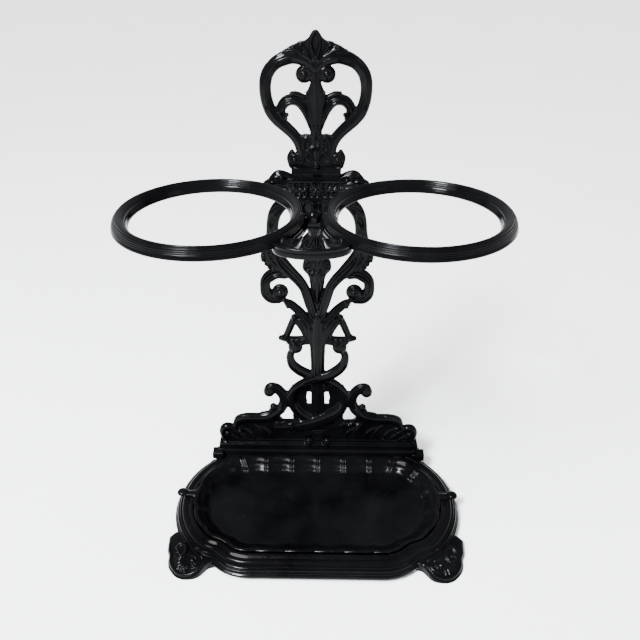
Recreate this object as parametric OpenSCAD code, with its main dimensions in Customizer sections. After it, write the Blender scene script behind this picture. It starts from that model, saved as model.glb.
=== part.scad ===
// Cast-iron umbrella stand: two rings on a pierced back panel, over a footed base
// with a lift-out drip tray. Millimetres, +Z up, front towards -Y.
// Origin: centre of the footprint at floor level.

/* [Overall] */
// Overall height, floor to the tip of the top handle
total_height = 700; // [700:1:700]
// Y of the middle plane of the back panel
panel_y = 116; // [114:0.5:118]
// Thickness of the back panel casting
panel_thick = 10; // [8:0.5:12]

/* [Rings] */
// Distance of each ring centre from the middle of the stand
ring_x = 126.8; // [126.5:0.1:128]
// Y of the ring centres
ring_y = -1.5; // [-3:0.5:0]
// Outer radius of a ring at its lower edge
ring_outer_r = 118.4; // [116:0.1:118.4]
// Clear radius inside a ring at its lower edge
ring_inner_r = 97; // [95:0.5:98]
// Height of the underside of the rings
ring_z = 499.4; // [499.4:0.1:500]
// Height of the ring section
ring_tall = 15; // [13:0.5:15]

/* [Base] */
// Half length of the straight front and back edges
base_half = 86; // [84:0.5:86]
// Y of the middle of the base
base_y = 5; // [4:0.5:5]
// Radius of the rounded ends at the bottom lip
base_r = 137; // [136:0.5:137]
// Height of the flat top of the rim
rim_z = 26; // [25:0.5:26]
// Radius of the rounded ends of the tray recess
recess_r = 109; // [108:0.5:110]

/* [Tray] */
// Radius of the rounded ends of the tray at its edge
tray_r = 107; // [105:0.5:107]
// Height of the tray edge
tray_z = 31; // [30:0.5:32]
// Thickness of the tray
tray_thick = 3; // [2.5:0.1:3.5]

/* [Fasteners] */
// Shank radius of the small screws
screw_r = 2.4; // [2:0.1:2.4]
// Radius of a threaded hole for a small screw
tap_r = 2.5; // [2.5:0.1:2.6]
// Shank radius of the two panel bolts
bolt_r = 3; // [2.5:0.1:3]
// Shank radius of the bracket bolt
stud_r = 4; // [3.5:0.1:4]
// Thickness of the arm's seat under the bracket
seat_thick = 5.5; // [5:0.5:6]

/* [Hidden] */
$fn = 72;
front_face = panel_y - panel_thick / 2;
rear_face = panel_y + panel_thick / 2;
back_edge = 132;
foot_turn = 45;
foot_inset = 123;
ledge_y = 103.5;
ledge_x = 176;
bolt_x = 15;
bolt_y = 112.5;
end_x = 140;
ledge_under = 20;
plinth_top = 49;
bolt_seat = 54;
crest_low = 479;
crest_top = 512;
lug_z = 498;
ring_top = ring_z + ring_tall;
flange_z = ring_z - 6;
screw_turn = 22;
screw_ring_r = 110;
web_top = ring_z - 0.2;
seat_z = flange_z - 0.1;

// ---- outlines --------------------------------------------------------------

// Catmull-Rom point between b and c
function curve_at(a, b, c, d, t) = 0.5 * (2 * b + (c - a) * t
  + (2 * a - 5 * b + 4 * c - d) * t * t + (3 * b - a - 3 * c + d) * t * t * t);

// A smooth run of [x, z, half width] points
function smooth(p, n) = [
  for (i = [0 : len(p) - 2])
    for (k = [0 : n - 1])
      curve_at(p[max(i - 1, 0)], p[i], p[i + 1], p[min(i + 2, len(p) - 1)], k / n),
  p[len(p) - 1]
];

// One edge of a band: s is 1 for the left of travel, -1 for the right
function edge(q, s, f) = [
  for (i = [0 : len(q) - 1])
    let (a = q[max(i - 1, 0)], b = q[min(i + 1, len(q) - 1)],
         d = [b[0] - a[0], b[1] - a[1]], w = s * f * q[i][2] / norm(d))
      [q[i][0] - d[1] * w, q[i][1] + d[0] * w]
];

function flip(p) = [for (i = [len(p) - 1 : -1 : 0]) p[i]];
function mirrored(p) = [for (v = p) [-v[0], v[1], v[2]]];

// A band of changing width with round ends; f narrows it, n points a span
module band(p, f = 1, n = 2) {
  q = smooth(p, n);
  last = q[len(q) - 1];
  polygon(concat(edge(q, 1, f), flip(edge(q, -1, f))));
  translate([q[0][0], q[0][1]]) circle(q[0][2] * f * 1.03, $fn = 24);
  translate([last[0], last[1]]) circle(last[2] * f * 1.03, $fn = 24);
}

module both() {
  children();
  mirror([1, 0, 0]) children();
}

// Stands an X-Z outline up between two Y values
module upright(y0, y1) {
  translate([0, y1, 0]) rotate([90, 0, 0]) linear_extrude(y1 - y0) children();
}

// ---- back panel outlines ---------------------------------------------------

lyre = [[28, 484, 5], [41, 479.5, 8], [52, 471.5, 9.5], [59, 460, 9.3],
  [62, 447, 8.8], [63, 433, 9], [64.5, 418, 10.5], [64, 403, 12.5], [57, 390, 12.5],
  [46, 378, 10.5], [36, 367.5, 8.8], [27.5, 358, 8.2], [19.8, 346, 7.6],
  [15.2, 332, 7.6], [11.5, 318, 7.5], [8, 305, 6.5], [5, 296, 6]];
lyre_flare = [[60, 422], [70.5, 425], [77, 410], [82, 394], [78, 388], [73, 382],
  [69, 374], [58, 376], [56, 400]];
volute = [[48, 368, 8], [58, 369.5, 9], [68, 365, 9.2], [75.5, 357, 8.2],
  [77, 346, 8], [75.3, 335, 8.6], [68.5, 327.2, 8], [58, 326, 7]];
stalk = [[46.5, 321.5, 4], [41, 317.5, 6.2], [35, 312, 7], [27, 304, 7.2],
  [18, 293, 6.5], [10, 280, 5]];
stem = [[0, 302, 4], [0, 285, 9], [0, 262, 12], [0, 240, 12.4], [0, 212, 11],
  [0, 190, 10]];
fan = [[0, 470, 20], [0, 456, 17], [0, 446, 14], [0, 436, 17], [0, 424, 27],
  [0, 416, 30], [0, 409, 25], [0, 404, 13.5], [0, 398, 12]];
bud = [[0, 398, 13], [0, 391, 16], [0, 384, 21], [0, 378, 22], [0, 372, 19],
  [0, 362, 12.5]];
spear = [[0, 366, 12.2], [0, 350, 10.5], [0, 336, 7], [0, 322, 4]];
spur_bar = [[35.5, 293, 5.2], [39, 283, 5.6], [43.4, 271.5, 5.6], [48, 261.5, 5],
  [54, 257, 4]];
spur_inner = [[34, 293, 5], [28, 283, 5.5], [21.5, 271, 6], [15, 258, 6]];
acorn_cap = [[57.6, 257, 3.2], [49, 255.5, 4.6], [38, 254.5, 5.5], [27, 254.5, 5.5],
  [12, 255, 5.5]];
loop_over = [[40, 232, 5.8], [43, 224, 6.2], [42.2, 214, 7], [38.5, 205, 8.4],
  [30, 196, 9.3], [18, 188.5, 9.3], [0, 182, 8], [-17, 175.5, 7], [-32, 166, 6.6],
  [-42.3, 152, 6.4], [-43.5, 136, 6.4], [-39, 120, 7.4], [-28, 106, 8.4],
  [-12, 97, 8.4]];
loop_under = [[40, 232, 5.8], [43, 224, 6.2], [42.2, 214, 7], [38.5, 205, 8.4],
  [30, 196, 9.3], [18, 188.5, 9.3], [0, 182, 8], [-17, 175.5, 7], [-32, 166, 6.6],
  [-42.3, 152, 6.4], [-43.5, 136, 6.4], [-40.5, 124, 8], [-33, 113, 10],
  [-20, 103.5, 11], [-4, 94.5, 11.5], [15, 87.5, 11]];
side_scroll = [[79.5, 154.5, 9], [76, 161.5, 9], [67, 159.5, 9], [59.3, 151, 8.6],
  [55.7, 141, 8.4], [56, 131, 8.5], [60, 121, 8.8], [67, 112.5, 8.8], [78, 106, 8.6],
  [92, 102.6, 8.4]];
crest_leaf = [[30, 498, 8], [42, 506, 10.5], [52, 511, 12], [61, 509, 7],
  [69, 507, 3]];
leaf_base = [[0, 46], [0, 96], [30, 96], [56, 96], [62, 99], [66, 108], [78, 110],
  [92, 110], [108, 109.6], [121, 109.4], [131, 105], [138, 98], [142.5, 91],
  [144, 87], [151, 88], [158, 87.5], [163, 84], [166, 77], [166.4, 68], [164, 60],
  [160, 53], [158, 46]];

module panel_outline() {
  both() {
    band(lyre);
    polygon(lyre_flare);
    band(volute);
    translate([55, 338]) circle(12.6, $fn = 40);
    band(stalk);
    band(spur_bar);
    band(spur_inner);
    band(acorn_cap);
    translate([35.4, 240.6]) circle(11, $fn = 40);
    band(side_scroll);
    translate([73, 124.4]) circle(6, $fn = 32);
    band(crest_leaf);
    translate([50, 518]) circle(7, $fn = 32);
    polygon(leaf_base);
  }
  band(stem);
  band(fan);
  band(bud);
  band(spear);
  band(loop_over);
  band(mirrored(loop_under));
  translate([-20, 455]) square([40, 30]);
  translate([-6, 80]) square([12, 114]);
  translate([-9, 288]) square([18, 34]);
  translate([-38, crest_low]) square([76, crest_top - crest_low]);
}

// Raised rolls and bosses on the front and back of the panel
module panel_relief() {
  both() {
    band(lyre, 0.5, 1);
    band(volute, 0.5, 1);
    translate([55, 338]) circle(8, $fn = 32);
    translate([35.4, 240.6]) circle(7.5, $fn = 32);
    band(side_scroll, 0.5, 1);
  }
  band(stem, 0.6, 1);
}

module knot_web() {
  difference() {
    translate([0, 140]) circle(42);
    both() translate([15.3, 148]) circle(3.5);
    both() translate([15.3, 133]) circle(3.5);
    both() translate([11.8, 133]) square([7, 15]);
  }
}

// ---- top handle outlines ---------------------------------------------------

heart = [[1, 655, 6], [10, 663, 7.5], [20, 667, 8.2], [30, 668.4, 8.6],
  [42, 665.4, 8.6], [51.5, 660, 8], [59.5, 651, 8], [63.6, 640, 8], [64.4, 628, 7.7],
  [62.8, 615, 7.8], [58.3, 602, 8.1], [52, 593.3, 8.1], [44.5, 586, 8],
  [32.5, 575, 7.4], [24.6, 565, 7.4], [20.6, 554, 6.8], [19, 545, 7.4]];
heart_leaf = [[4, 578, 4], [8, 591, 5.4], [13, 604, 6.6], [21, 614.4, 7.2],
  [30, 617.2, 7.4], [38.5, 614.4, 7], [44.4, 607.4, 6.6], [46.6, 600, 6],
  [43.4, 594.6, 4.6]];
handle_stem = [[0, 658, 5], [0, 644, 6], [0, 636, 7.6], [0, 629, 10.4],
  [0, 622, 13.4], [0, 612, 13.4], [0, 600, 10], [0, 586, 7.2], [0, 572, 8]];
crown = [[0, 646], [0, 700], [3, 698.6], [6, 694.6], [8, 691.4], [11, 689.2],
  [14, 687.4], [18, 687.2], [21, 686.6], [24, 684.6], [27, 683.4], [30, 682.3],
  [37, 677.6], [41, 675.6], [47, 672.8], [52, 668], [24, 660], [12, 654]];
neck = [[0, 572], [7, 571], [14, 573], [22, 572], [26, 560], [24, 550], [30, 546],
  [33, 530], [33, 524], [0, 524]];

module handle_outline() {
  both() {
    band(heart);
    band(heart_leaf);
    translate([14.5, 647.8]) circle(11);
    translate([28.6, 538.6]) circle(9.8);
    polygon(crown);
    polygon(neck);
  }
  band(handle_stem);
}

// ---- revolved and swept shapes ---------------------------------------------

// A dish of a stadium plan from its half section [r, z]
module stadium_dish(section) {
  both() translate([base_half, base_y, 0])
    rotate([0, 0, -90]) rotate_extrude(angle = 180) polygon(section);
  translate([-base_half, base_y, 0]) rotate([90, 0, 90]) linear_extrude(2 * base_half)
    both() polygon(section);
}

module round_screw(r, length, head_r, head_h) {
  rotate_extrude() polygon([[0, -head_h], [head_r * 0.6, -head_h],
    [head_r * 0.92, -head_h * 0.55], [head_r, 0], [r, 0], [r, length], [0, length]]);
}

module hex(across, h) {
  cylinder(r = across / sqrt(3), h = h, $fn = 6);
}

// ---- base ------------------------------------------------------------------

function foot_x() = base_half + foot_inset * cos(foot_turn);
function foot_y() = foot_inset * sin(foot_turn);

module foot_places() {
  for (s = [-1, 1])
    for (t = [-1, 1])
      translate([s * foot_x(), base_y + t * foot_y(), 0]) children();
}

module base_casting() color([0.02, 0.02, 0.024]) difference() {
  union() {
    intersection() {
      stadium_dish([[0, 9], [114, 9], [114, 20], [127, 20], [131, 15],
        [base_r - 5, 8], [base_r, 8], [base_r, 12.5], [base_r - 3, 14],
        [base_r - 3, 17], [base_r - 4, 20], [base_r - 7, 21], [base_r - 7.5, 24],
        [base_r - 10, rim_z], [recess_r, rim_z], [recess_r, 12], [0, 12]]);
      translate([-240, -140, 0]) cube([480, 140 + back_edge, 60]);
    }
    translate([0, 0, 8]) linear_extrude(rim_z - 8) {
      translate([-ledge_x, ledge_y]) square([2 * ledge_x, 18]);
      translate([10 - ledge_x, ledge_y]) square([2 * ledge_x - 20, back_edge - ledge_y]);
      both() translate([ledge_x - 10, back_edge - 10]) circle(10);
    }
    foot_places() translate([0, 0, 8]) cylinder(r = 7, h = 13);
  }
  both() translate([4, 105.8, 7]) cube([122, 21, ledge_under - 7]);
  foot_places() translate([0, 0, 7]) cylinder(r = tap_r, h = 11);
  both() translate([bolt_x, bolt_y, 6]) cylinder(r = bolt_r + 0.3, h = 30);
  both() translate([end_x, 120, 6]) cylinder(r = tap_r + 0.2, h = 30);
  both() translate([end_x, 120, 6]) cylinder(r = 6.5, h = 6);
}

// Lobed foot; the pad spreads outwards from under the lip
module front_foot() difference() {
  union() {
    translate([foot_x(), base_y - foot_y(), 0]) cylinder(r = 13, h = 8);
    translate([189, -103, 0]) cylinder(r = 26, h = 10);
    translate([203, -87, 0]) cylinder(r = 16, h = 9);
    translate([174, -115, 0]) cylinder(r = 14, h = 9);
    translate([202, -115, 0]) cylinder(r = 12, h = 8);
    translate([184, -96, 0]) cylinder(r = 18, h = 17);
  }
  translate([base_half, base_y, 8]) cylinder(r = base_r + 0.3, h = 30);
  translate([foot_x(), base_y - foot_y(), -1]) {
    cylinder(r = screw_r + 0.3, h = 30);
    cylinder(r = 5.4, h = 5);
  }
}

module rear_foot() difference() {
  union() {
    translate([foot_x(), base_y + foot_y(), 0]) cylinder(r = 13, h = 8);
    translate([163, 81, 0]) cylinder(r = 17, h = 8);
  }
  translate([foot_x(), base_y + foot_y(), -1]) {
    cylinder(r = screw_r + 0.3, h = 30);
    cylinder(r = 5.4, h = 5);
  }
}

module foot_front_right() color([0.02, 0.02, 0.024]) front_foot();
module foot_front_left() color([0.02, 0.02, 0.024]) mirror([1, 0, 0]) front_foot();
module foot_rear_right() color([0.02, 0.02, 0.024]) rear_foot();
module foot_rear_left() color([0.02, 0.02, 0.024]) mirror([1, 0, 0]) rear_foot();

module foot_screws() color([0.16, 0.16, 0.17]) foot_places()
  translate([0, 0, 4]) round_screw(screw_r, 12.5, 5, 3);

// ---- drip tray -------------------------------------------------------------

// The tray's outside, or its hollow when thick is the wall thickness
module tray_form(thick) {
  low = 12.2 + thick;
  top = thick > 0 ? tray_z + 9 : tray_z;
  rim = tray_r - thick;
  back = 102 - thick;
  intersection() {
    stadium_dish([[0, low], [82, low], [91 - thick * 0.6, 18.5], [97 - thick * 0.8, 26],
      [rim, tray_z - 2], [rim, top], [0, top]]);
    rotate([90, 0, 90]) linear_extrude(400, center = true) polygon([[-140, low],
      [74, low], [83 - thick * 0.6, 18.5], [91 - thick * 0.8, 26], [back, tray_z - 2],
      [back, top], [-140, top]]);
  }
}

module drip_tray() color([0.02, 0.02, 0.024]) {
  difference() {
    tray_form(0);
    tray_form(tray_thick);
  }
  both() {
    translate([tray_r + base_half - 6, 4, 27]) cube([26, 16, 4]);
    translate([213.5, 12, 26.4]) rotate_extrude()
      polygon([[0, 0], [7.5, 0], [8.5, 2.5], [7.5, 6], [4.5, 8.2], [0, 9]]);
  }
}

// ---- back panel ------------------------------------------------------------

module back_panel() color([0.02, 0.02, 0.024]) difference() {
  union() {
    upright(front_face, rear_face) panel_outline();
    upright(front_face - 2.5, rear_face + 2) panel_relief();
    upright(front_face - 3.5, front_face + 2) band(loop_over, 0.9, 1);
    upright(rear_face - 4, rear_face) knot_web();
    translate([-40, 106, crest_low]) cube([80, 14, 5]);
    translate([-39, 107, 507]) cube([78, 13, 5]);
    translate([0, ring_y, seat_z - seat_thick]) cylinder(r = 9.5, h = seat_thick);
    rotate([90, 0, 90]) linear_extrude(13, center = true) polygon([
      [ring_y, seat_z], [34, seat_z], [62, 489], [88, 482], [front_face + 2, 479],
      [front_face + 2, 452], [98, 461], [74, 474], [46, 483],
      [20, seat_z - seat_thick], [ring_y, seat_z - seat_thick]]);
    translate([-168, 107, 38]) cube([336, 21, plinth_top - 38]);
    translate([-179, 104.4, rim_z]) cube([358, 8, 13]);
    translate([-168, 104.4, rim_z]) cube([336, 26, 13]);
    both() translate([bolt_x, bolt_y + 0.5, 42]) cylinder(r = 7, h = bolt_seat - 42);
    both() translate([160, 95, rim_z]) cube([19, 12, 12]);
  }
  both() translate([bolt_x, bolt_y, 0]) cylinder(r = bolt_r + 0.3, h = 62);
  both() translate([bolt_x, bolt_y, bolt_seat]) cylinder(r = 5.6, h = 9);
  both() translate([bolt_x - 5.6, 100, bolt_seat]) cube([11.2, 12.5, 9]);
  both() translate([end_x, 120, 0]) cylinder(r = tap_r, h = 42);
  both() translate([14, rear_face + 1, lug_z]) rotate([90, 0, 0])
    cylinder(r = tap_r, h = 10);
  translate([0, ring_y, seat_z - 20]) cylinder(r = stud_r + 0.3, h = 40);
}

module panel_bolts() color([0.02, 0.02, 0.024]) both()
  translate([bolt_x, bolt_y, bolt_seat]) rotate([180, 0, 0])
    round_screw(bolt_r, 42, 5, 4.5);

module panel_washers() color([0.2, 0.2, 0.21]) both()
  translate([bolt_x, bolt_y, ledge_under - 1.5]) difference() {
    cylinder(r = 6.2, h = 1.5);
    translate([0, 0, -1]) cylinder(r = bolt_r + 0.2, h = 4);
  }

module panel_nuts() color([0.2, 0.2, 0.21]) both()
  translate([bolt_x, bolt_y, ledge_under - 6.5]) difference() {
    hex(10, 5);
    translate([0, 0, -1]) cylinder(r = bolt_r + 0.05, h = 7);
  }

module panel_end_screws() color([0.2, 0.2, 0.21]) both()
  translate([end_x, 120, 12]) union() {
    round_screw(screw_r, 27, 4.5, 3.2);
  }

// ---- top handle ------------------------------------------------------------

module top_handle() color([0.02, 0.02, 0.024]) difference() {
  union() {
    upright(panel_y - 5.5, panel_y + 5.5) handle_outline();
    upright(panel_y - 7.5, panel_y + 7.5) {
      both() band(heart, 0.5);
      both() translate([14.5, 647.8]) circle(7.5);
      band(handle_stem, 0.5);
    }
    translate([-33.5, 106, 519]) cube([67, 20, 8]);
    translate([-30, 108, crest_top]) cube([60, 18, 9]);
    translate([-22, rear_face, 488]) cube([44, 5, 30]);
  }
  both() translate([14, 140, lug_z]) rotate([90, 0, 0]) cylinder(r = screw_r + 0.3, h = 20);
}

module handle_screws() color([0.2, 0.2, 0.21]) both()
  translate([14, rear_face + 5, lug_z]) rotate([90, 0, 0]) round_screw(screw_r, 13, 4.5, 3);

// ---- rings and bracket -----------------------------------------------------

module ring_holes(r, h) {
  for (t = [-1, 1])
    translate([ring_x - screw_ring_r * cos(screw_turn),
      ring_y + t * screw_ring_r * sin(screw_turn), ring_z - 20]) cylinder(r = r, h = h);
}

module ring_right() color([0.02, 0.02, 0.024]) difference() {
  translate([ring_x, ring_y, 0]) rotate_extrude() polygon([
    [ring_inner_r, ring_z], [ring_outer_r, ring_z], [ring_outer_r - 0.1, ring_z + 1.8],
    [ring_outer_r - 1.2, ring_z + 4.4], [ring_outer_r - 2.2, ring_z + 6.6],
    [ring_outer_r - 2.8, ring_z + 8.8], [ring_outer_r - 4, ring_z + 11],
    [ring_outer_r - 6.2, ring_z + 13.2], [ring_outer_r - 8.6, ring_z + 14.6],
    [ring_outer_r - 11, ring_top], [ring_outer_r - 14, ring_top - 0.6],
    [ring_outer_r - 17, ring_top - 2.6], [ring_outer_r - 19, ring_top - 5.4],
    [ring_outer_r - 20, ring_top - 8], [ring_inner_r + 0.3, ring_z + 3.4],
    [ring_inner_r, ring_z + 1.8]]);
  ring_holes(tap_r, 28);
}

module ring_left() mirror([1, 0, 0]) ring_right();

bracket_front = [[-40, -70, 4], [-41, -79, 4.6], [-36, -88, 4.4], [-26, -93.9, 4.3],
  [-13, -97.8, 4.3], [0, -99, 4.3], [13, -97.8, 4.3], [26, -93.9, 4.3], [36, -88, 4.4],
  [41, -79, 4.6], [40, -70, 4]];
bracket_gusset = [[13, -56], [15, -70], [19, -84], [26, -92], [34, -88], [40, -80],
  [38, -70], [28, -61], [19, -54]];

// Hourglass frame under the facing sides of the rings
module ring_bracket() color([0.02, 0.02, 0.024]) difference() {
  union() {
    both() translate([ring_x, ring_y, 0]) rotate([0, 0, 158])
      rotate_extrude(angle = 62) polygon([[106, flange_z], [119, flange_z],
        [119, web_top], [106, web_top]]);
    translate([0, 0, flange_z]) linear_extrude(13) band(bracket_front);
    both() translate([0, 0, flange_z]) linear_extrude(web_top - flange_z)
      polygon(bracket_gusset);
    translate([-12, ring_y - 7.5, flange_z]) cube([24, 15, web_top - flange_z]);
  }
  both() translate([ring_x, ring_y, web_top]) cylinder(r = ring_outer_r + 0.4, h = 30);
  both() ring_holes(screw_r + 0.3, 30);
  translate([0, ring_y, 480]) cylinder(r = stud_r + 0.3, h = 40);
}

module ring_screws() color([0.2, 0.2, 0.21]) both()
  for (t = [-1, 1])
    translate([ring_x - screw_ring_r * cos(screw_turn),
      ring_y + t * screw_ring_r * sin(screw_turn), flange_z])
      round_screw(screw_r, 13, 4.5, 3);

module bracket_bolt() color([0.2, 0.2, 0.21])
  translate([0, ring_y, seat_z - seat_thick - 1.6]) {
    cylinder(r = stud_r, h = 24.5);
    translate([0, 0, -5]) hex(13, 5);
  }

module bracket_washers() color([0.02, 0.02, 0.024])
  for (z = [seat_z - seat_thick - 1.6, web_top])
    translate([0, ring_y, z]) difference() {
      cylinder(r = 8, h = 1.6);
      translate([0, 0, -1]) cylinder(r = stud_r + 0.3, h = 4);
    }

module bracket_dome_nut() color([0.02, 0.02, 0.024])
  translate([0, ring_y, web_top + 1.6]) difference() {
    rotate_extrude() polygon([[0, 0], [8, 0], [8.3, 1], [8.9, 2.6], [9.6, 4.6],
      [9.8, 6.4], [9.2, 8.6], [7.6, 10.8], [5, 12.2], [2.4, 12.9], [0.6, 13], [0, 13]]);
    translate([0, 0, -1]) cylinder(r = stud_r + 0.05, h = 11.5);
  }

// ---- nodes -----------------------------------------------------------------

base_casting();
foot_front_left();
foot_front_right();
foot_rear_left();
foot_rear_right();
foot_screws();
drip_tray();
back_panel();
panel_bolts();
panel_washers();
panel_nuts();
panel_end_screws();
top_handle();
handle_screws();
ring_left();
ring_right();
ring_bracket();
ring_screws();
bracket_bolt();
bracket_washers();
bracket_dome_nut();
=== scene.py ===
import math

import bmesh
import bpy
from mathutils import Matrix, Vector
from mathutils.geometry import tessellate_polygon


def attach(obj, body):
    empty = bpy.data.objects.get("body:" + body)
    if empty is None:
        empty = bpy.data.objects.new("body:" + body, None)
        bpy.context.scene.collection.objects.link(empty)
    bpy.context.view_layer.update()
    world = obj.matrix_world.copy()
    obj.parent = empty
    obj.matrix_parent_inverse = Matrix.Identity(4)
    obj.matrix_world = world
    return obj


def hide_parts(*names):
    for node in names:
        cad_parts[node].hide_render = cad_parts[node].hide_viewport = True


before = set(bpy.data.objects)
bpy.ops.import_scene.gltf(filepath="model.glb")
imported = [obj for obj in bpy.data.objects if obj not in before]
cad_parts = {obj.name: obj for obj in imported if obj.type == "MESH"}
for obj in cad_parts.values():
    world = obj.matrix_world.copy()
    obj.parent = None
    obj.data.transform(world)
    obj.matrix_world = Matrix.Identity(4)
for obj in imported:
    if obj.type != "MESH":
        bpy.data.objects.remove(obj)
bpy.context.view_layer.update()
MM = 0.001
PANEL_Y = 116.0
PANEL_BACK = 120.6
SIDES = {1: "right", -1: "left"}


# ---- mesh building, in millimetres ------------------------------------------

def smooth(points, n=6):
    """Catmull-Rom through the points, n steps a span."""
    out = []
    for i in range(len(points) - 1):
        a, b = points[max(i - 1, 0)], points[i]
        c, d = points[i + 1], points[min(i + 2, len(points) - 1)]
        for k in range(n):
            t = k / n
            out.append(tuple(
                0.5 * (2 * q + (r - p) * t + (2 * p - 5 * q + 4 * r - s) * t * t
                       + (3 * q - p - 3 * r + s) * t ** 3)
                for p, q, r, s in zip(a, b, c, d)))
    out.append(tuple(points[-1]))
    return out


def heading(degrees):
    """Cosine and sine of an angle in degrees."""
    a = math.radians(degrees)
    return math.cos(a), math.sin(a)


def step(low, high, v):
    t = min(max((v - low) / (high - low), 0.0), 1.0)
    return t * t * (3 - 2 * t)


def flat_top(c):
    return max(0.0, 1 - c ** 6) ** 0.5


PROFILES = {
    "round": lambda c: max(0.0, 1 - c * c) ** 0.5,
    "flat": flat_top,
    "ridge": lambda c: 0.4 * max(0.0, 1 - c * c) ** 0.5 + 0.6 * (1 - abs(c)),
    "channel": lambda c: flat_top(c) * (0.55 + 0.45 * step(0.15, 0.68, abs(c))),
    "rib3": lambda c: flat_top(c) * (0.72 + 0.28 * math.cos(3 * math.pi * c)),
    "roll": lambda c: flat_top(c) * (0.7 + 0.3 * math.cos(2 * math.pi * c)),
}


END_ANGLES = (80, 62, 44, 28, 13)


def anticlockwise(outline):
    area = sum(a[0] * b[1] - b[0] * a[1] for a, b in zip(outline, outline[1:] + outline[:1]))
    return outline if area > 0 else outline[::-1]


def triangles(outline):
    """Triangles that fill an anticlockwise outline, the same way round."""
    out = []
    for a, b, c in tessellate_polygon([[Vector((*p, 0)) for p in outline]]):
        turn = (Vector(outline[b]) - Vector(outline[a])).cross(Vector(outline[c]) - Vector(outline[a]))
        out.append((a, c, b) if turn < 0 else (a, b, c))
    return out


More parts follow.
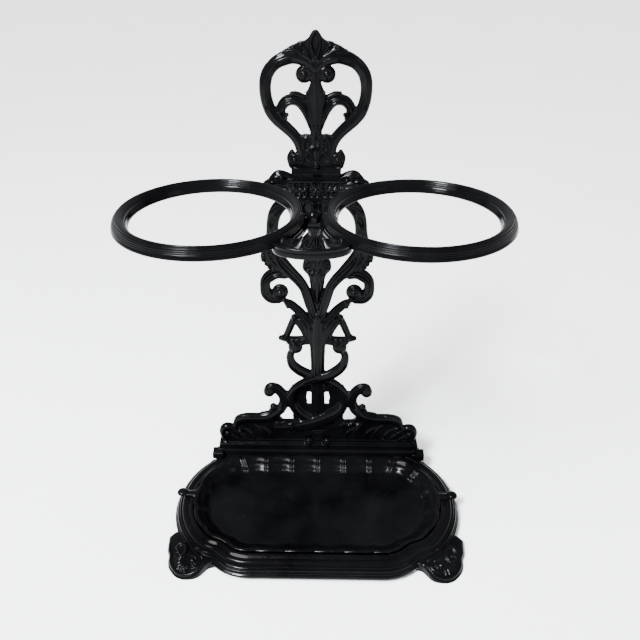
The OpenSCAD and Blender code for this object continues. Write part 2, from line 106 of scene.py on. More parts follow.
class Shape:
    """A pile of closed shells that becomes one mesh."""

    def __init__(self):
        self.verts = []
        self.faces = []

    def add(self, verts, faces, both=False):
        base = len(self.verts)
        self.verts += [tuple(v) for v in verts]
        self.faces += [tuple(i + base for i in f) for f in faces]
        if both:
            base = len(self.verts)
            self.verts += [(-v[0], v[1], v[2]) for v in verts]
            self.faces += [tuple(i + base for i in reversed(f)) for f in faces]

    def rings(self, rings, both=False, closed=False):
        """Joins equal rings of points into a closed shell."""
        k = len(rings[0])
        verts = [p for r in rings for p in r]
        faces = []
        count = len(rings)
        for i in range(count if closed else count - 1):
            j = (i + 1) % count
            for m in range(k):
                n = (m + 1) % k
                faces.append((i * k + m, i * k + n, j * k + n, j * k + m))
        if not closed:
            faces.append(tuple(range(k - 1, -1, -1)))
            faces.append(tuple(range((count - 1) * k, count * k)))
        self.add(verts, faces, both)

    def band(self, points, front=5.5, back=4.8, profile="round", y=PANEL_Y, both=False,
             n=6, k=28):
        """A cast band in the X-Z plane through (x, z, half width[, forward shift])."""
        pts = [tuple(p) + (0.0,) * (4 - len(p)) for p in points]
        q = smooth(pts, n)
        path = []

        def direction(i):
            a, b = q[max(i - 1, 0)], q[min(i + 1, len(q) - 1)]
            d = Vector((b[0] - a[0], b[1] - a[1]))
            return d.normalized() if d.length > 1e-9 else Vector((0, 1))

        def round_off(i, way, angles):
            x, z, w, f = q[i]
            d = direction(i)
            for a in angles:
                t = math.radians(a)
                s, c = way * w * math.sin(t), math.cos(t)
                path.append((x + d.x * s, z + d.y * s, w * c, f, d, c))

        round_off(0, -1, END_ANGLES)
        for i, p in enumerate(q):
            path.append((*p, direction(i), 1.0))
        round_off(len(q) - 1, 1, END_ANGLES[::-1])
        shape = PROFILES[profile]
        rings = []
        for x, z, w, f, d, fade in path:
            ring = []
            for m in range(k):
                t = 2 * math.pi * m / k
                c, s = math.cos(t), math.sin(t)
                if s < 0:
                    dy = -front * fade ** 0.6 * shape(c)
                else:
                    dy = back * fade ** 0.6 * flat_top(c)
                ring.append((x - d.y * w * c, y - f + dy, z + d.x * w * c))
            rings.append(ring)
        self.rings(rings, both)

    def ball(self, x, y, z, rx, ry=None, rz=None, both=False, n=14):
        ry = rx if ry is None else ry
        rz = rx if rz is None else rz
        rings = []
        for i in range(1, n):
            t = math.pi * i / n
            r, h = math.sin(t), math.cos(t)
            rings.append([(x + rx * r * math.cos(a), y + ry * r * math.sin(a), z - rz * h)
                          for a in (2 * math.pi * m / (2 * n) for m in range(2 * n))])
        self.rings(rings, both)

    def plate(self, outline, y0, y1, both=False):
        """An X-Z outline between two Y values."""
        pts = anticlockwise(outline)
        k = len(pts)
        faces = []
        for a, b, c in triangles(pts):
            faces.append((a, b, c))
            faces.append((a + k, c + k, b + k))
        for m in range(k):
            j = (m + 1) % k
            faces.append((m, m + k, j + k, j))
        self.add([(x, y, z) for y in (y0, y1) for x, z in pts], faces, both)

    def slab(self, outline, z0, z1, both=False):
        """An X-Y outline between two heights."""
        pts = anticlockwise(outline)
        k = len(pts)
        faces = []
        for a, b, c in triangles(pts):
            faces.append((a, c, b))
            faces.append((a + k, b + k, c + k))
        for m in range(k):
            j = (m + 1) % k
            faces.append((m, j, j + k, m + k))
        self.add([(x, y, z) for z in (z0, z1) for x, y in pts], faces, both)

    def bar(self, section, x0, x1, both=False):
        """A (y, z) section run along X."""
        self.rings([[(x, *p) for p in anticlockwise(section)] for x in (x0, x1)], both)

    def lathe(self, profile, centre, seg=128, both=False):
        """A closed (r, z) profile turned round the upright axis through centre."""
        rings = []
        for m in range(seg):
            a = 2 * math.pi * m / seg
            ring = []
            for r, h in profile:
                ring.append((centre[0] + r * math.cos(a), centre[1] + r * math.sin(a), centre[2] + h))
            rings.append(ring)
        k = len(profile)
        verts = [p for r in rings for p in r]
        faces = []
        for i in range(seg):
            j = (i + 1) % seg
            for m in range(k):
                n = (m + 1) % k
                faces.append((i * k + m, j * k + m, j * k + n, i * k + n))
        self.add(verts, faces, both)

    def tube(self, points, both=False, n=6, k=14):
        """A round bar through (x, y, z, radius)."""
        q = smooth([tuple(p) for p in points], n)
        rings = []
        for i, p in enumerate(q):
            a, b = q[max(i - 1, 0)], q[min(i + 1, len(q) - 1)]
            d = Vector((b[0] - a[0], b[1] - a[1], b[2] - a[2])).normalized()
            u = d.cross(Vector((0.31, 0.17, 0.93))).normalized()
            v = d.cross(u)
            ends = [(0.0, 1.0)]
            if i == 0:
                ends = [(-0.94, 0.34), (-0.77, 0.64), (-0.5, 0.87), (0.0, 1.0)]
            if i == len(q) - 1:
                ends = [(0.0, 1.0), (0.5, 0.87), (0.77, 0.64), (0.94, 0.34)]
            for along, wide in ends:
                c = Vector(p[:3]) + d * (along * p[3])
                rings.append([tuple(c + (u * math.cos(t) + v * math.sin(t)) * (p[3] * wide))
                              for t in (2 * math.pi * m / k for m in range(k))])
        self.rings(rings, both)

    def bands(self, *where, **form):
        """A band and its mirror image."""
        self.band(*where, both=True, **form)

    def balls(self, *where, **form):
        """A ball and its mirror image."""
        self.ball(*where, both=True, **form)

    def mirror(self):
        self.verts = [(-x, y, z) for x, y, z in self.verts]
        self.faces = [tuple(reversed(f)) for f in self.faces]

    def mesh(self, name):
        me = bpy.data.meshes.new(name)
        me.from_pydata([(x * MM, y * MM, z * MM) for x, y, z in self.verts], [], self.faces)
        bm = bmesh.new()
        bm.from_mesh(me)
        bmesh.ops.remove_doubles(bm, verts=bm.verts, dist=1e-6)
        bmesh.ops.recalc_face_normals(bm, faces=bm.faces)
        bm.to_mesh(me)
        bm.free()
        return me


def put(name, me):
    ob = bpy.data.objects.new(name, me)
    bpy.context.scene.collection.objects.link(ob)
    return ob


def baked(ob, name):
    """The object with its modifiers applied."""
    bpy.context.view_layer.update()
    deps = bpy.context.evaluated_depsgraph_get()
    me = bpy.data.meshes.new_from_object(ob.evaluated_get(deps))
    me.name = name
    old = ob.data
    ob.modifiers.clear()
    ob.data = me
    bpy.data.meshes.remove(old)
    return ob


def cast(name, shape, voxel, rounds=3, holes=()):
    """Fuses a pile of shells into one cast skin."""
    ob = put(name, shape.mesh(name))
    m = ob.modifiers.new("skin", "REMESH")
    m.mode = "VOXEL"
    m.voxel_size = voxel * MM
    m.use_smooth_shade = True
    if rounds:
        s = ob.modifiers.new("ease", "SMOOTH")
        s.factor = 0.5
        s.iterations = rounds
    baked(ob, name)
    for cutter in holes:
        cut = put(name + "_cut", cutter.mesh(name + "_cut"))
        b = ob.modifiers.new("cut", "BOOLEAN")
        b.operation = "DIFFERENCE"
        b.solver = "EXACT"
        b.object = cut
        baked(ob, name)
        bpy.data.objects.remove(cut)
    return ob


def shade(ob, angle=35):
    me = ob.data
    me.polygons.foreach_set("use_smooth", [True] * len(me.polygons))
    me.set_sharp_from_angle(angle=math.radians(angle))


# ---- materials --------------------------------------------------------------

def nodes_of(name):
    mat = bpy.data.materials.new(name)
    mat.use_nodes = True
    tree = mat.node_tree
    tree.nodes.clear()
    out = tree.nodes.new("ShaderNodeOutputMaterial")
    sh = tree.nodes.new("ShaderNodeBsdfPrincipled")
    tree.links.new(sh.outputs[0], out.inputs[0])
    return mat, tree, sh


def noise(tree, vector, scale, detail=3.0, rough=0.5):
    n = tree.nodes.new("ShaderNodeTexNoise")
    n.inputs["Scale"].default_value = scale
    n.inputs["Detail"].default_value = detail
    n.inputs["Roughness"].default_value = rough
    tree.links.new(vector, n.inputs["Vector"])
    return n.outputs["Fac"]


def ramp(tree, fac, stops):
    r = tree.nodes.new("ShaderNodeValToRGB")
    els = r.color_ramp.elements
    while len(els) < len(stops):
        els.new(0.5)
    for e, (pos, col) in zip(els, stops):
        e.position = pos
        e.color = col if len(col) == 4 else (*col, 1)
    tree.links.new(fac, r.inputs[0])
    return r.outputs[0]


def math_node(tree, op, a, b):
    m = tree.nodes.new("ShaderNodeMath")
    m.operation = op
    for i, v in enumerate((a, b)):
        if isinstance(v, (int, float)):
            m.inputs[i].default_value = v
        else:
            tree.links.new(v, m.inputs[i])
    return m.outputs[0]


def black_paint(name, grain=1.0, wear=0.12):
    """Gloss black over a sand casting: uneven tone, orange peel and edges rubbed in spots."""
    mat, tree, sh = nodes_of(name)
    co = tree.nodes.new("ShaderNodeTexCoord").outputs["Object"]
    geo = tree.nodes.new("ShaderNodeNewGeometry")
    broad = noise(tree, co, 18.0, 4.0)
    fine = noise(tree, co, 420.0 * grain, 3.0, 0.6)
    peel = noise(tree, co, 170.0 * grain, 2.0)
    tone = ramp(tree, broad, [(0.3, (0.0006, 0.0006, 0.0007)), (0.7, (0.002, 0.002, 0.0023))])
    edge = ramp(tree, geo.outputs["Pointiness"], [(0.53, (0, 0, 0)), (0.62, (1, 1, 1))])
    spots = ramp(tree, noise(tree, co, 95.0, 5.0, 0.65), [(0.56, (0, 0, 0)), (0.66, (1, 1, 1))])
    rub = math_node(tree, "MULTIPLY", math_node(tree, "MULTIPLY", edge, spots), wear)
    mix = tree.nodes.new("ShaderNodeMix")
    mix.data_type = "RGBA"
    tree.links.new(rub, mix.inputs["Factor"])
    tree.links.new(tone, mix.inputs["A"])
    mix.inputs["B"].default_value = (0.085, 0.075, 0.07, 1)
    tree.links.new(mix.outputs["Result"], sh.inputs["Base Color"])
    gloss = ramp(tree, noise(tree, co, 42.0, 5.0, 0.6),
                 [(0.3, (0.08,) * 3), (0.62, (0.15,) * 3), (0.8, (0.26,) * 3)])
    rough = math_node(tree, "ADD", gloss, math_node(tree, "MULTIPLY", rub, 0.8))
    tree.links.new(rough, sh.inputs["Roughness"])
    sh.inputs["Specular IOR Level"].default_value = 0.048
    low = tree.nodes.new("ShaderNodeBump")
    low.inputs["Strength"].default_value = 0.22
    low.inputs["Distance"].default_value = 0.0006
    tree.links.new(peel, low.inputs["Height"])
    high = tree.nodes.new("ShaderNodeBump")
    high.inputs["Strength"].default_value = 0.16
    high.inputs["Distance"].default_value = 0.0002
    tree.links.new(fine, high.inputs["Height"])
    tree.links.new(low.outputs[0], high.inputs["Normal"])
    tree.links.new(high.outputs[0], sh.inputs["Normal"])
    return mat


def plated_steel(name):
    mat, tree, sh = nodes_of(name)
    co = tree.nodes.new("ShaderNodeTexCoord").outputs["Object"]
    tone = ramp(tree, noise(tree, co, 160.0, 4.0), [(0.3, (0.20, 0.20, 0.21)), (0.7, (0.42, 0.42, 0.43))])
    tree.links.new(tone, sh.inputs["Base Color"])
    sh.inputs["Metallic"].default_value = 1.0
    tree.links.new(ramp(tree, noise(tree, co, 300.0, 3.0), [(0.3, (0.28,) * 3), (0.7, (0.5,) * 3)]),
                   sh.inputs["Roughness"])
    b = tree.nodes.new("ShaderNodeBump")
    b.inputs["Strength"].default_value = 0.15
    b.inputs["Distance"].default_value = 0.0002
    tree.links.new(noise(tree, co, 900.0, 2.0), b.inputs["Height"])
    tree.links.new(b.outputs[0], sh.inputs["Normal"])
    return mat


PAINT = black_paint("black_gloss_paint")
PAINT_FINE = black_paint("black_gloss_paint_smooth", 0.6, 0.06)
STEEL = plated_steel("zinc_plated_steel")


def finish_piece(ob, body, nodes, mat=PAINT, angle=40):
    shade(ob, angle)
    ob.data.materials.clear()
    ob.data.materials.append(mat)
    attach(ob, body)
    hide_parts(*nodes)
    return ob


def shifted(points, values):
    """The points with a forward shift added from (share along, shift) pairs."""
    out = []
    last = len(points) - 1
    for i, p in enumerate(points):
        t = i / last
        f = values[-1][1]
        for (t0, f0), (t1, f1) in zip(values, values[1:]):
            if t <= t1:
                f = f0 + (f1 - f0) * step(t0, t1, t)
                break
        out.append((p[0], p[1], p[2], f))
    return out


def spiral(cx, cz, r0, r1, a0, a1, w0, w1, f=0.0, n=10):
    """Points of a scroll that winds from r0 to r1."""
    out = []
    for i in range(n + 1):
        t = i / n
        a = math.radians(a0 + (a1 - a0) * t)
        r = r0 + (r1 - r0) * t
        out.append((cx + r * math.cos(a), cz + r * math.sin(a), w0 + (w1 - w0) * t, f))
    return out


def leaf(s, x, z, length, angle, width, front=4.0, y=PANEL_Y, f=0.0, curl=0.0, both=True,
         back=3.5):
    """A pointed leaf with a middle ridge, from its foot (x, z) along angle degrees."""
    pts = []
    for i, (t, w) in enumerate(((0, 0.45), (0.3, 0.95), (0.55, 1.0), (0.8, 0.62), (1, 0.16))):
        a = math.radians(angle + curl * t)
        pts.append((x + length * t * math.cos(a), z + length * t * math.sin(a),
                    max(width * w, 0.8), f))
    s.band(pts, front, back, "ridge", y, both, n=4, k=20)


def leaves(s, rows, *depth, **form):
    """A leaf for each (x, z, length, angle, width)."""
    for row in rows:
        leaf(s, *row, *depth, **form)


def beads(s, places, y, *radii):
    for x, z in places:
        s.balls(x, y, z, *radii, n=8)


def curl(s, winding, front, back, k):
    s.bands(spiral(*winding), front, back, n=3, k=k)


def rolled(s, points, front):
    """A thin raised roll on each side."""
    s.bands(points, front, 3, k=12)


# ---- back panel -------------------------------------------------------------

LYRE = [(28, 484, 5), (41, 479.5, 8), (52, 471.5, 9.5), (59, 460, 9.3), (62, 447, 8.8),
        (63, 433, 9), (64.5, 418, 10.5), (64, 403, 12.5), (57, 390, 12.5), (46, 378, 10.5),
        (36, 367.5, 8.8), (27.5, 358, 8.2), (19.8, 346, 7.6), (15.2, 332, 7.6), (11.5, 318, 7.5),
        (8, 305, 6.5), (5, 296, 6)]
VOLUTE = [(48, 368, 8), (58, 369.5, 9), (68, 365, 9.2), (75.5, 357, 8.2), (77, 346, 8),
          (75.3, 335, 8.6), (68.5, 327.2, 8), (58, 326, 7)]
STALK = [(46.5, 321.5, 4), (41, 317.5, 6.2), (35, 312, 7), (27, 304, 7.2), (18, 293, 6.5),
         (10, 280, 5)]
STEM = [(0, 302, 3), (0, 292, 6.5), (0, 276, 9), (0, 258, 10), (0, 240, 9.6), (0, 212, 9),
        (0, 193, 8.4)]
LOOP = [(40, 232, 5.8), (43, 224, 6.2), (42.2, 214, 7), (38.5, 205, 8.4), (30, 196, 9.3),
        (18, 188.5, 9.3), (0, 182, 8), (-17, 175.5, 7), (-32, 166, 6.6), (-42.2, 152, 6.8),
        (-43.2, 136, 7.2)]
SIDE_SCROLL = [(79.5, 154.5, 9), (76, 161.5, 9), (67, 159.5, 9), (59.3, 151, 8.6),
               (55.7, 141, 8.4), (56, 131, 8.5), (60, 121, 8.8), (67, 112.5, 8.8),
               (78, 106, 8.6), (92, 102.6, 8.4)]


def lyre(s):
    """Lyre limbs with a hollow face, rolled edges and a scroll cast on the upper part."""
    s.bands(LYRE, 6.5, 4.8, "channel", k=36)
    curl(s, (60, 459, 6.6, 1.4, 110, -330, 1.5, 1.5, 6.0), 1.4, 3, 10)
    s.bands([(46, 474, 1.6, 5.6), (54, 471, 2.2, 6), (60.5, 464, 1.8, 6)], 1.4, 3, "round", n=4, k=10)
    s.bands([(58, 449, 1.6, 6), (61.5, 442, 2.0, 6), (63.5, 433, 1.8, 5.8), (62, 423, 1.4, 5)],
           1.4, 3, n=4, k=10)
    leaf(s, 44, 478, 13, -14, 3.0, 7.2)
    leaf(s, 66, 446, 12, -95, 2.4, 7.4)
    # beaded leaf on the flare of each limb
    s.plate([(66, 426), (71, 424), (77, 410), (81.5, 399), (82, 393.5), (78, 388.5), (73.5, 383),
             (69.6, 378), (69, 373), (58, 376), (58, 400)], 112.6, PANEL_BACK, both=True)
    leaves(s, [(68, 424, 15, -66, 4.6), (70, 413, 16, -58, 5.0), (69, 402, 14, -46, 4.8),
               (66, 392, 12, -60, 4.6), (62, 386, 12, -80, 4.2)], 6.6)
    beads(s, [(78.5, 397.5), (78, 391.5), (73.6, 385.5), (69.6, 380.4), (75.4, 408)], 111.4, 2.9, 3.2, 2.9)
    s.bands([(61, 412, 2.4, 3), (60.5, 399, 2.6, 3.4), (56, 387, 2.4, 3.2), (48, 375, 2.2, 2.6),
            (39, 365, 1.8, 2.2), (31, 357, 1.4, 2.0)], 5.0, 3, k=16)


def volutes(s):
    """Twin mouldings round a turned eye."""
    s.bands(VOLUTE, 6.2, 4.8, "channel", k=36)
    rolled(s, [(46, 364, 1.5, 5), (56, 366, 1.7, 5.4), (66, 363, 1.8, 5.4), (73.6, 355, 1.8, 5.4),
               (75.4, 346, 1.7, 5.4), (74, 338, 1.5, 5)], 1.6)
    s.balls(55, 116, 338, 12.6, 6.8, 12.8)
    curl(s, (55, 338, 10.2, 4.6, -60, 260, 2.2, 1.8, 3.6), 4.4, 3, 12)
    s.balls(55, 110.2, 337.5, 3.8, 3.6, 3.8, n=10)


def stalks(s):
    """Ribbed stalks from the volutes down to the stem."""
    s.bands(STALK, 5.4, 4.6, "rib3", k=40)
    s.bands([(49, 325, 3.4, 1), (45, 318, 4.4, 1), (44.5, 313.5, 3, 0.6)], 6.0, 4, n=3)
    s.ball(0, 110.5, 297, 4.0, 3.8, 4.0)


def centre_flower(s):
    """Fan, bud and spear between the limbs."""
    s.band([(0, 470, 19), (0, 460, 13), (0, 451, 8.5), (0, 441, 7.4), (0, 432, 10.5), (0, 426, 16.5),
            (0, 420, 24), (0, 414, 28), (0, 409, 25), (0, 404, 14), (0, 398, 12)], 3.0, 4.6, "flat")
    s.bands([(2.4, 452, 2.0), (3.2, 438, 2.8), (7.5, 425, 4.0), (13, 414, 3.4)], 7.2, 3,
           n=6, k=20)
    s.bands([(5.4, 449, 1.8), (7.4, 437, 2.6), (13.6, 427.5, 3.8), (21, 419.5, 4.0), (24.5, 412, 3.2)],
           6.6, 3, n=6, k=20)
    s.balls(23.6, 112.0, 412.6, 3.6, 3.8, 3.6, n=10)
    s.band([(0, 455, 2.0), (0, 436, 3.0), (0, 420, 4.6), (0, 410, 3.6)], 7.8, 3, "ridge", k=20)
    s.band([(0, 408, 9), (0, 400, 10.5), (0, 394, 12.5)], 6.0, 4.6, "rib3", k=32)
    s.band([(0, 397, 13), (0, 391, 16), (0, 385, 20), (0, 379, 21.6), (0, 373, 19.6), (0, 368, 15),
            (0, 363, 12.4)], 4.8, 4.6, "flat")
    leaves(s, [(6, 393, 16, -70, 4.2), (11, 392, 14, -46, 4.2), (3, 392, 20, -86, 4.0)], 7.4)
    for x, z, r in ((0, 369.6, 3.2), (6.6, 371, 3.2), (12.6, 374, 3.2), (17.6, 378.4, 3.2),
                    (18, 384, 2.8), (14.4, 389, 2.6)):
        s.balls(x, 110.8, z, r, n=8)
    s.band([(0, 366, 12.4), (0, 350, 10.6), (0, 336, 7), (0, 322, 3)], 6.4, 4.6, "ridge", k=36)
    s.band([(0, 364, 5.6, 1), (0, 348, 4.4, 1), (0, 330, 2, 1)], 6.8, 4.6, k=20)
    s.band([(0, 322, 7), (0, 310, 9), (0, 296, 12), (0, 284, 19), (0, 274, 18)], 1.6, 4.6, "flat", k=24)
    s.plate([(8, 300), (22, 303), (30, 296), (34, 288), (24, 282), (10, 276)], 115, PANEL_BACK, both=True)


def stem(s):
    """Stem over its wider back plate."""
    s.band([(0, 300, 8), (0, 276, 12), (0, 246, 12.6), (0, 215, 11.2),
            (0, 186, 11)], 3.4, 4.8, "flat", k=32)
    s.band(STEM, 8.4, 5.0, k=36)
    s.band([(0, 299, 2, 3), (0, 286, 3.0, 3), (0, 266, 4.0, 3.2), (0, 240, 3.4, 3), (0, 200, 2.4, 2.6)],
           5.8, 3, "ridge", k=20)
    s.bands([(20, 293, 2.4), (14.4, 284, 2.6), (11.6, 270, 2.6), (10.8, 252, 2.2),
             (10.4, 236, 1.4)], 6.4, 4.4, k=16)
    s.bands([(27, 291, 2.4), (20, 280, 3), (15.8, 267, 3.4), (14, 256, 3)], 5.8, 4.4, k=16)


def acorns(s):
    """Spurs, and the capped acorns that hang below them."""
    s.balls(35.5, 114.5, 295, 4.6, 5.8, 4.8)
    s.bands([(35.5, 292, 5.2), (39, 283, 5.6), (43.4, 271.5, 5.6), (48, 261.5, 5), (54, 256.8, 3.8)],
           5.4, 4.6, "ridge")
    s.bands([(34, 292, 5), (28, 283, 5.4), (21.5, 271, 5.4), (16, 259, 6)], 5.2, 4.6, "rib3", k=32)
    s.bands([(57.6, 256.8, 3.2), (49, 255.2, 4.4), (38, 254, 5.2), (27, 254, 5.6), (14, 255, 6)],
           5.6, 4.6, "roll")
    s.balls(34.4, 115.2, 240.4, 11.4, 8.2, 11.4)
    s.bands([(44, 250, 5, 0), (34, 249, 6, 0), (24, 249, 5.2, 0), (14, 250, 4.6, 0)], 5.2, 4.6)
    for a in (-62, -90, -118):
        leaf(s, 35.4, 251, 18, a, 3.4, 9.6, curl=(90 + a) * -0.6)
    for x in (22, 30, 38, 46):
        s.balls(x, 110.2, 253.6, 2.4, 2.4, 2.4, n=8)


def knot(s):
    """The knotted pair of loops."""
    over = shifted(LOOP, [(0, 0), (0.3, 0.8), (0.52, 3.0), (0.75, 1.4), (1, 0)])
    over += [(-39, 120, 7.4, 0), (-28, 106, 8.4, -1.5), (-12, 97, 8.4, -2.5)]
    s.band(over, 6.0, 4.8, k=36)
    s.band([(34, 201, 5, 1), (18, 190.5, 7, 3), (0, 184, 6.6, 3.6), (-17, 176.8, 5.6, 2.4),
            (-31, 167.4, 4.6, 0.6)],
           5.4, 3, "flat", k=30)
    under = [(-p[0], p[1], p[2], -1.4 * max(0.0, 1 - abs(i - 5.5) / 2.5)) for i, p in enumerate(LOOP)]
    under += [(40.5, 124, 8, 0.6), (33, 113, 10, 1.4), (20, 103.5, 11.2, 2.2), (4, 94.5, 11.6, 2.4),
              (-15, 87.5, 11, 2.2), (-35, 83, 9.6, 1.6), (-54, 81, 7, 0.8), (-70, 80, 4, 0.2)]
    s.band(under, 4.6, 4.8, k=36)
    s.band([(-45, 84, 5), (-20, 80, 5.5), (0, 82, 6), (20, 80, 5.5), (45, 84, 5)], 3.0, 4.6, "flat")


def knot_web(s):
    """Web behind the knot, with its two slots."""
    s.plate([(-42, 96), (42, 96), (42, 128), (-42, 128)], 117.2, PANEL_BACK)
    s.plate([(-34, 152), (34, 152), (30, 174), (-30, 174)], 117.2, PANEL_BACK)
    s.plate([(19, 108), (42, 108), (42, 166), (19, 166), (18.4, 153), (17.2, 149), (19, 141), (17.2, 133),
             (18.4, 128)], 117.4, PANEL_BACK, both=True)
    s.band([(0, 188, 8), (0, 150, 11), (0, 126, 11), (0, 100, 8)], 1.6, 4.4, "flat", k=24)
    s.band([(0, 186, 6), (0, 150, 6), (0, 118, 6), (0, 108, 4)], 3.0, 4.4, k=24)


def side_scrolls(s):
    """Scrolls either side of the knot, with their beads and small leaves."""
    s.bands(SIDE_SCROLL, 6.4, 4.8)
    s.balls(79, 114.5, 154, 9.2, 7.2, 9.2)
    curl(s, (79.4, 154.6, 6.6, 2.4, 100, -170, 1.8, 1.5, 5.4), 2.2, 3, 12)
    rolled(s, [(78, 166, 1.8, 3), (67, 165, 2.0, 3), (56, 156, 2.2, 3), (51, 142, 2.2, 3),
               (51.6, 128, 2.2, 3), (57, 115, 2.2, 3)], 4.4)
    s.balls(73, 113.6, 124.4, 6.4, 6, 6.4, n=12)
    s.balls(77, 113.6, 116.4, 4.6, 5, 4.6, n=10)
    leaves(s, [(68, 117, 13, 62, 2.4), (72, 115, 13, 74, 2.2)], 8.0)
    s.bands([(52, 150, 5), (47, 147, 6), (46.5, 136, 5.4), (47.5, 127, 4.4)], 4, 4.6, n=3)


def leaf_base(s):
    """Broad foot of curled leaves, on its flat strip above the plinth."""
    s.plate([(-160, 45), (160, 45), (160, 54.6), (-160, 54.6)], 112.6, PANEL_BACK)
    for x0, x1 in ((-165, -21), (-9, 9), (21, 165)):
        s.plate([(x0, 54), (x1, 54), (x1, 63.5), (x0, 63.5)], 113.4, PANEL_BACK)
    s.plate([(-30, 54), (30, 54), (30, 64), (-30, 64)], 118.6, PANEL_BACK)
    s.plate([(0.0, 63), (162, 63), (165, 67), (165, 76), (160, 81), (150, 84), (143, 84),
             (141, 94), (136, 101), (124, 106), (108, 107), (92, 107), (78, 110), (66, 108),
             (60, 97.5), (57, 95), (42, 95), (0, 95)], 113.4, PANEL_BACK, both=True)
    s.bands([(60, 121, 6, 0), (67, 112.5, 7.6, 0.8), (78, 105.4, 8, 1.2), (92, 101.8, 8, 1.6),
            (107, 101.6, 8.2, 2), (121, 101, 8.2, 2), (131.6, 96.4, 8, 1.8), (136.6, 87.6, 6, 1.4)],
           6.8, 4.8)
    rolled(s, [(112, 108.6, 1.4, 4), (125, 107, 1.8, 4.6), (135, 101, 2.0, 4.6), (139.8, 92, 1.8, 4.2),
               (139, 84, 1.6, 3.6)], 3)
    s.bands([(143.6, 80, 4.4, 1.2), (149, 82.6, 5.2, 1.6), (156, 81, 6.2, 2), (160, 74, 6.4, 2),
            (160, 64, 5.4, 1.6), (156, 55, 4.2, 1)], 7.0, 4.8)
    s.balls(152, 110.8, 69, 4.6, 4.2, 5.0, n=10)
    s.bands([(150, 60, 1.4, 4), (155, 68, 2.0, 5), (157, 77, 1.4, 5)], 3.4, 3, n=4, k=10)
    curl(s, (132, 80, 8.2, 2.4, 60, -280, 2.4, 1.8, 3.0), 4.6, 3, 14)
    leaves(s, [(122, 58, 26, 58, 3.8), (108, 58, 30, 70, 4.4), (92, 60, 30, 84, 4.6), (77, 62, 30, 66, 4.4),
               (60, 64, 27, 84, 4.0), (46, 64, 24, 70, 3.6), (136, 56, 20, 44, 3.4),
               (142, 58, 18, 74, 3.0)], 4.6, f=0.4, curl=-24)
    leaves(s, [(62, 88.5, 9, 16, 2.6), (44, 89, 9, -8, 2.2), (38, 86, 8, 40, 2.0),
               (52, 90, 8, 10, 2.2)], 6.4)
    for z in (56, 60.4, 64.8, 69.2, 73.6):
        s.bands([(0, z, 1.1, 2.2), (7.6 + (z - 56) * 0.5, z, 0.9, 2)], 1.6, 3, n=3, k=8)
    # bolt seats
    s.lathe([(0.01, 42), (7, 42), (7, 53.2), (6.4, 54), (0.01, 54)], BOLT_PLACE, seg=24, both=True)


def plinth(s):
    """Plinth mouldings and the blocks at its ends."""
    s.bar([(104.6, 26), (104.6, 31), (105.6, 32.2), (104.8, 33.4), (105.4, 35), (106.6, 38), (107, 38.6),
           (112, 38.6), (112, 26)], -179, 179)
    s.bar([(111, 26), (111, 38.6), (130.2, 38.6), (130.2, 26)], -168, 168)
    s.bar([(107, 38), (107, 42.6), (108.2, 43.6), (107.2, 44.6), (107.2, 47.6), (108.4, 48.8),
           (127.6, 48.8), (127.9, 38)], -168, 168)
    s.bar([(95.4, 26.1), (95.4, 35.6), (97, 37.6), (107, 37.8), (107, 26.1)], 160.4, 178.8, both=True)


def crest(s):
    """Frieze, mouldings and leaves under the handle."""
    s.plate([(-38, 479), (38, 479), (38, 511.6), (-38, 511.6)], 111.4, 120.4)
    s.bar([(108.4, 478.6), (107, 480.2), (108.2, 481.8), (107.2, 483.6), (108.4, 485.6), (108, 486.8),
           (109.4, 488), (119, 488), (119, 478.6)], -38.5, 38.5)
    s.bar([(109.6, 507), (107.8, 508.4), (107.4, 509.6), (107.8, 511.8), (119.8, 511.8),
           (119.8, 507)], -39, 39)
    s.ball(0, 109.2, 497.6, 3.6, 3.6, 3.6, n=10)
    for a in range(0, 360, 60):
        s.ball(6.6 * math.cos(math.radians(a)), 110.2, 497.6 + 6.6 * math.sin(math.radians(a)),
               3.3, 3.0, 3.3, n=8)
    leaves(s, [(11, 492, 14, 46, 2.8), (11, 503, 14, -46, 2.8), (20, 495, 14, 34, 3.2),
               (20, 500, 14, -34, 3.2), (29, 493, 12, 54, 2.8),
               (29, 502, 12, -54, 2.8)], 4.6, y=112.4, back=2)
    beads(s, [(14.5, 504.6), (23, 504.8), (31, 504.6), (16, 497.4), (25.5, 497.2), (34, 497.4),
              (14.5, 490.4), (23, 490.2), (31, 490.4), (6, 505.4)], 110.2, 2.3, 2.3, 2.3)
    s.bands([(0, 482.0, 1.8, 5), (6, 481.4, 1.8, 5), (12, 480.2, 2.0, 5), (18, 481.4, 1.8, 5),
            (25, 485.5, 1.5, 5)], 4.2, 3, n=5, k=14)
    s.bands([(17, 479, 2.4, 1), (20, 470, 2.8, 1), (17, 460, 2.6, 1),
             (12, 452, 2.4, 1)], 5.6, 4, "ridge", k=16)
    s.bands([(30, 498, 7), (42, 505.5, 9.5), (53, 508.5, 9), (62, 508, 5.5), (70, 506.5, 2)], 5.8, 4.8)
    s.bands([(34, 515, 3.4, 1), (42, 517.6, 5, 1.4), (51, 517.4, 7.2, 1.8),
             (58.4, 511.5, 6.4, 2)], 5.6, 4.4,
           "ridge")
    leaves(s, [(40, 500, 30, 12, 3.4), (42, 506, 24, 20, 3.6), (42, 511, 16, 34, 3.4)], 8.6, curl=-14)
    s.balls(47, 108.6, 515.6, 3.6, 3.4, 3.4, n=10)


def ring_arm(s):
    """Arm that carries the rings."""
    s.lathe([(0.01, 487.8), (9.2, 487.8), (9.4, 488.4), (9.4, 492.7), (9.0, 493.2), (0.01, 493.2)],
            (0, -1.5, 0), seg=40)
    s.rings([[(x, y, z) for y, z in ((-1.5, 493.2), (34, 493.2), (62, 488.6), (88, 481.6), (114, 478.6),
                                    (114, 452.6), (98, 461.4), (74, 474.2), (46, 483), (20, 487.9),
                                    (-1.5, 487.9))]
             for x in (-6.4, 6.4)])


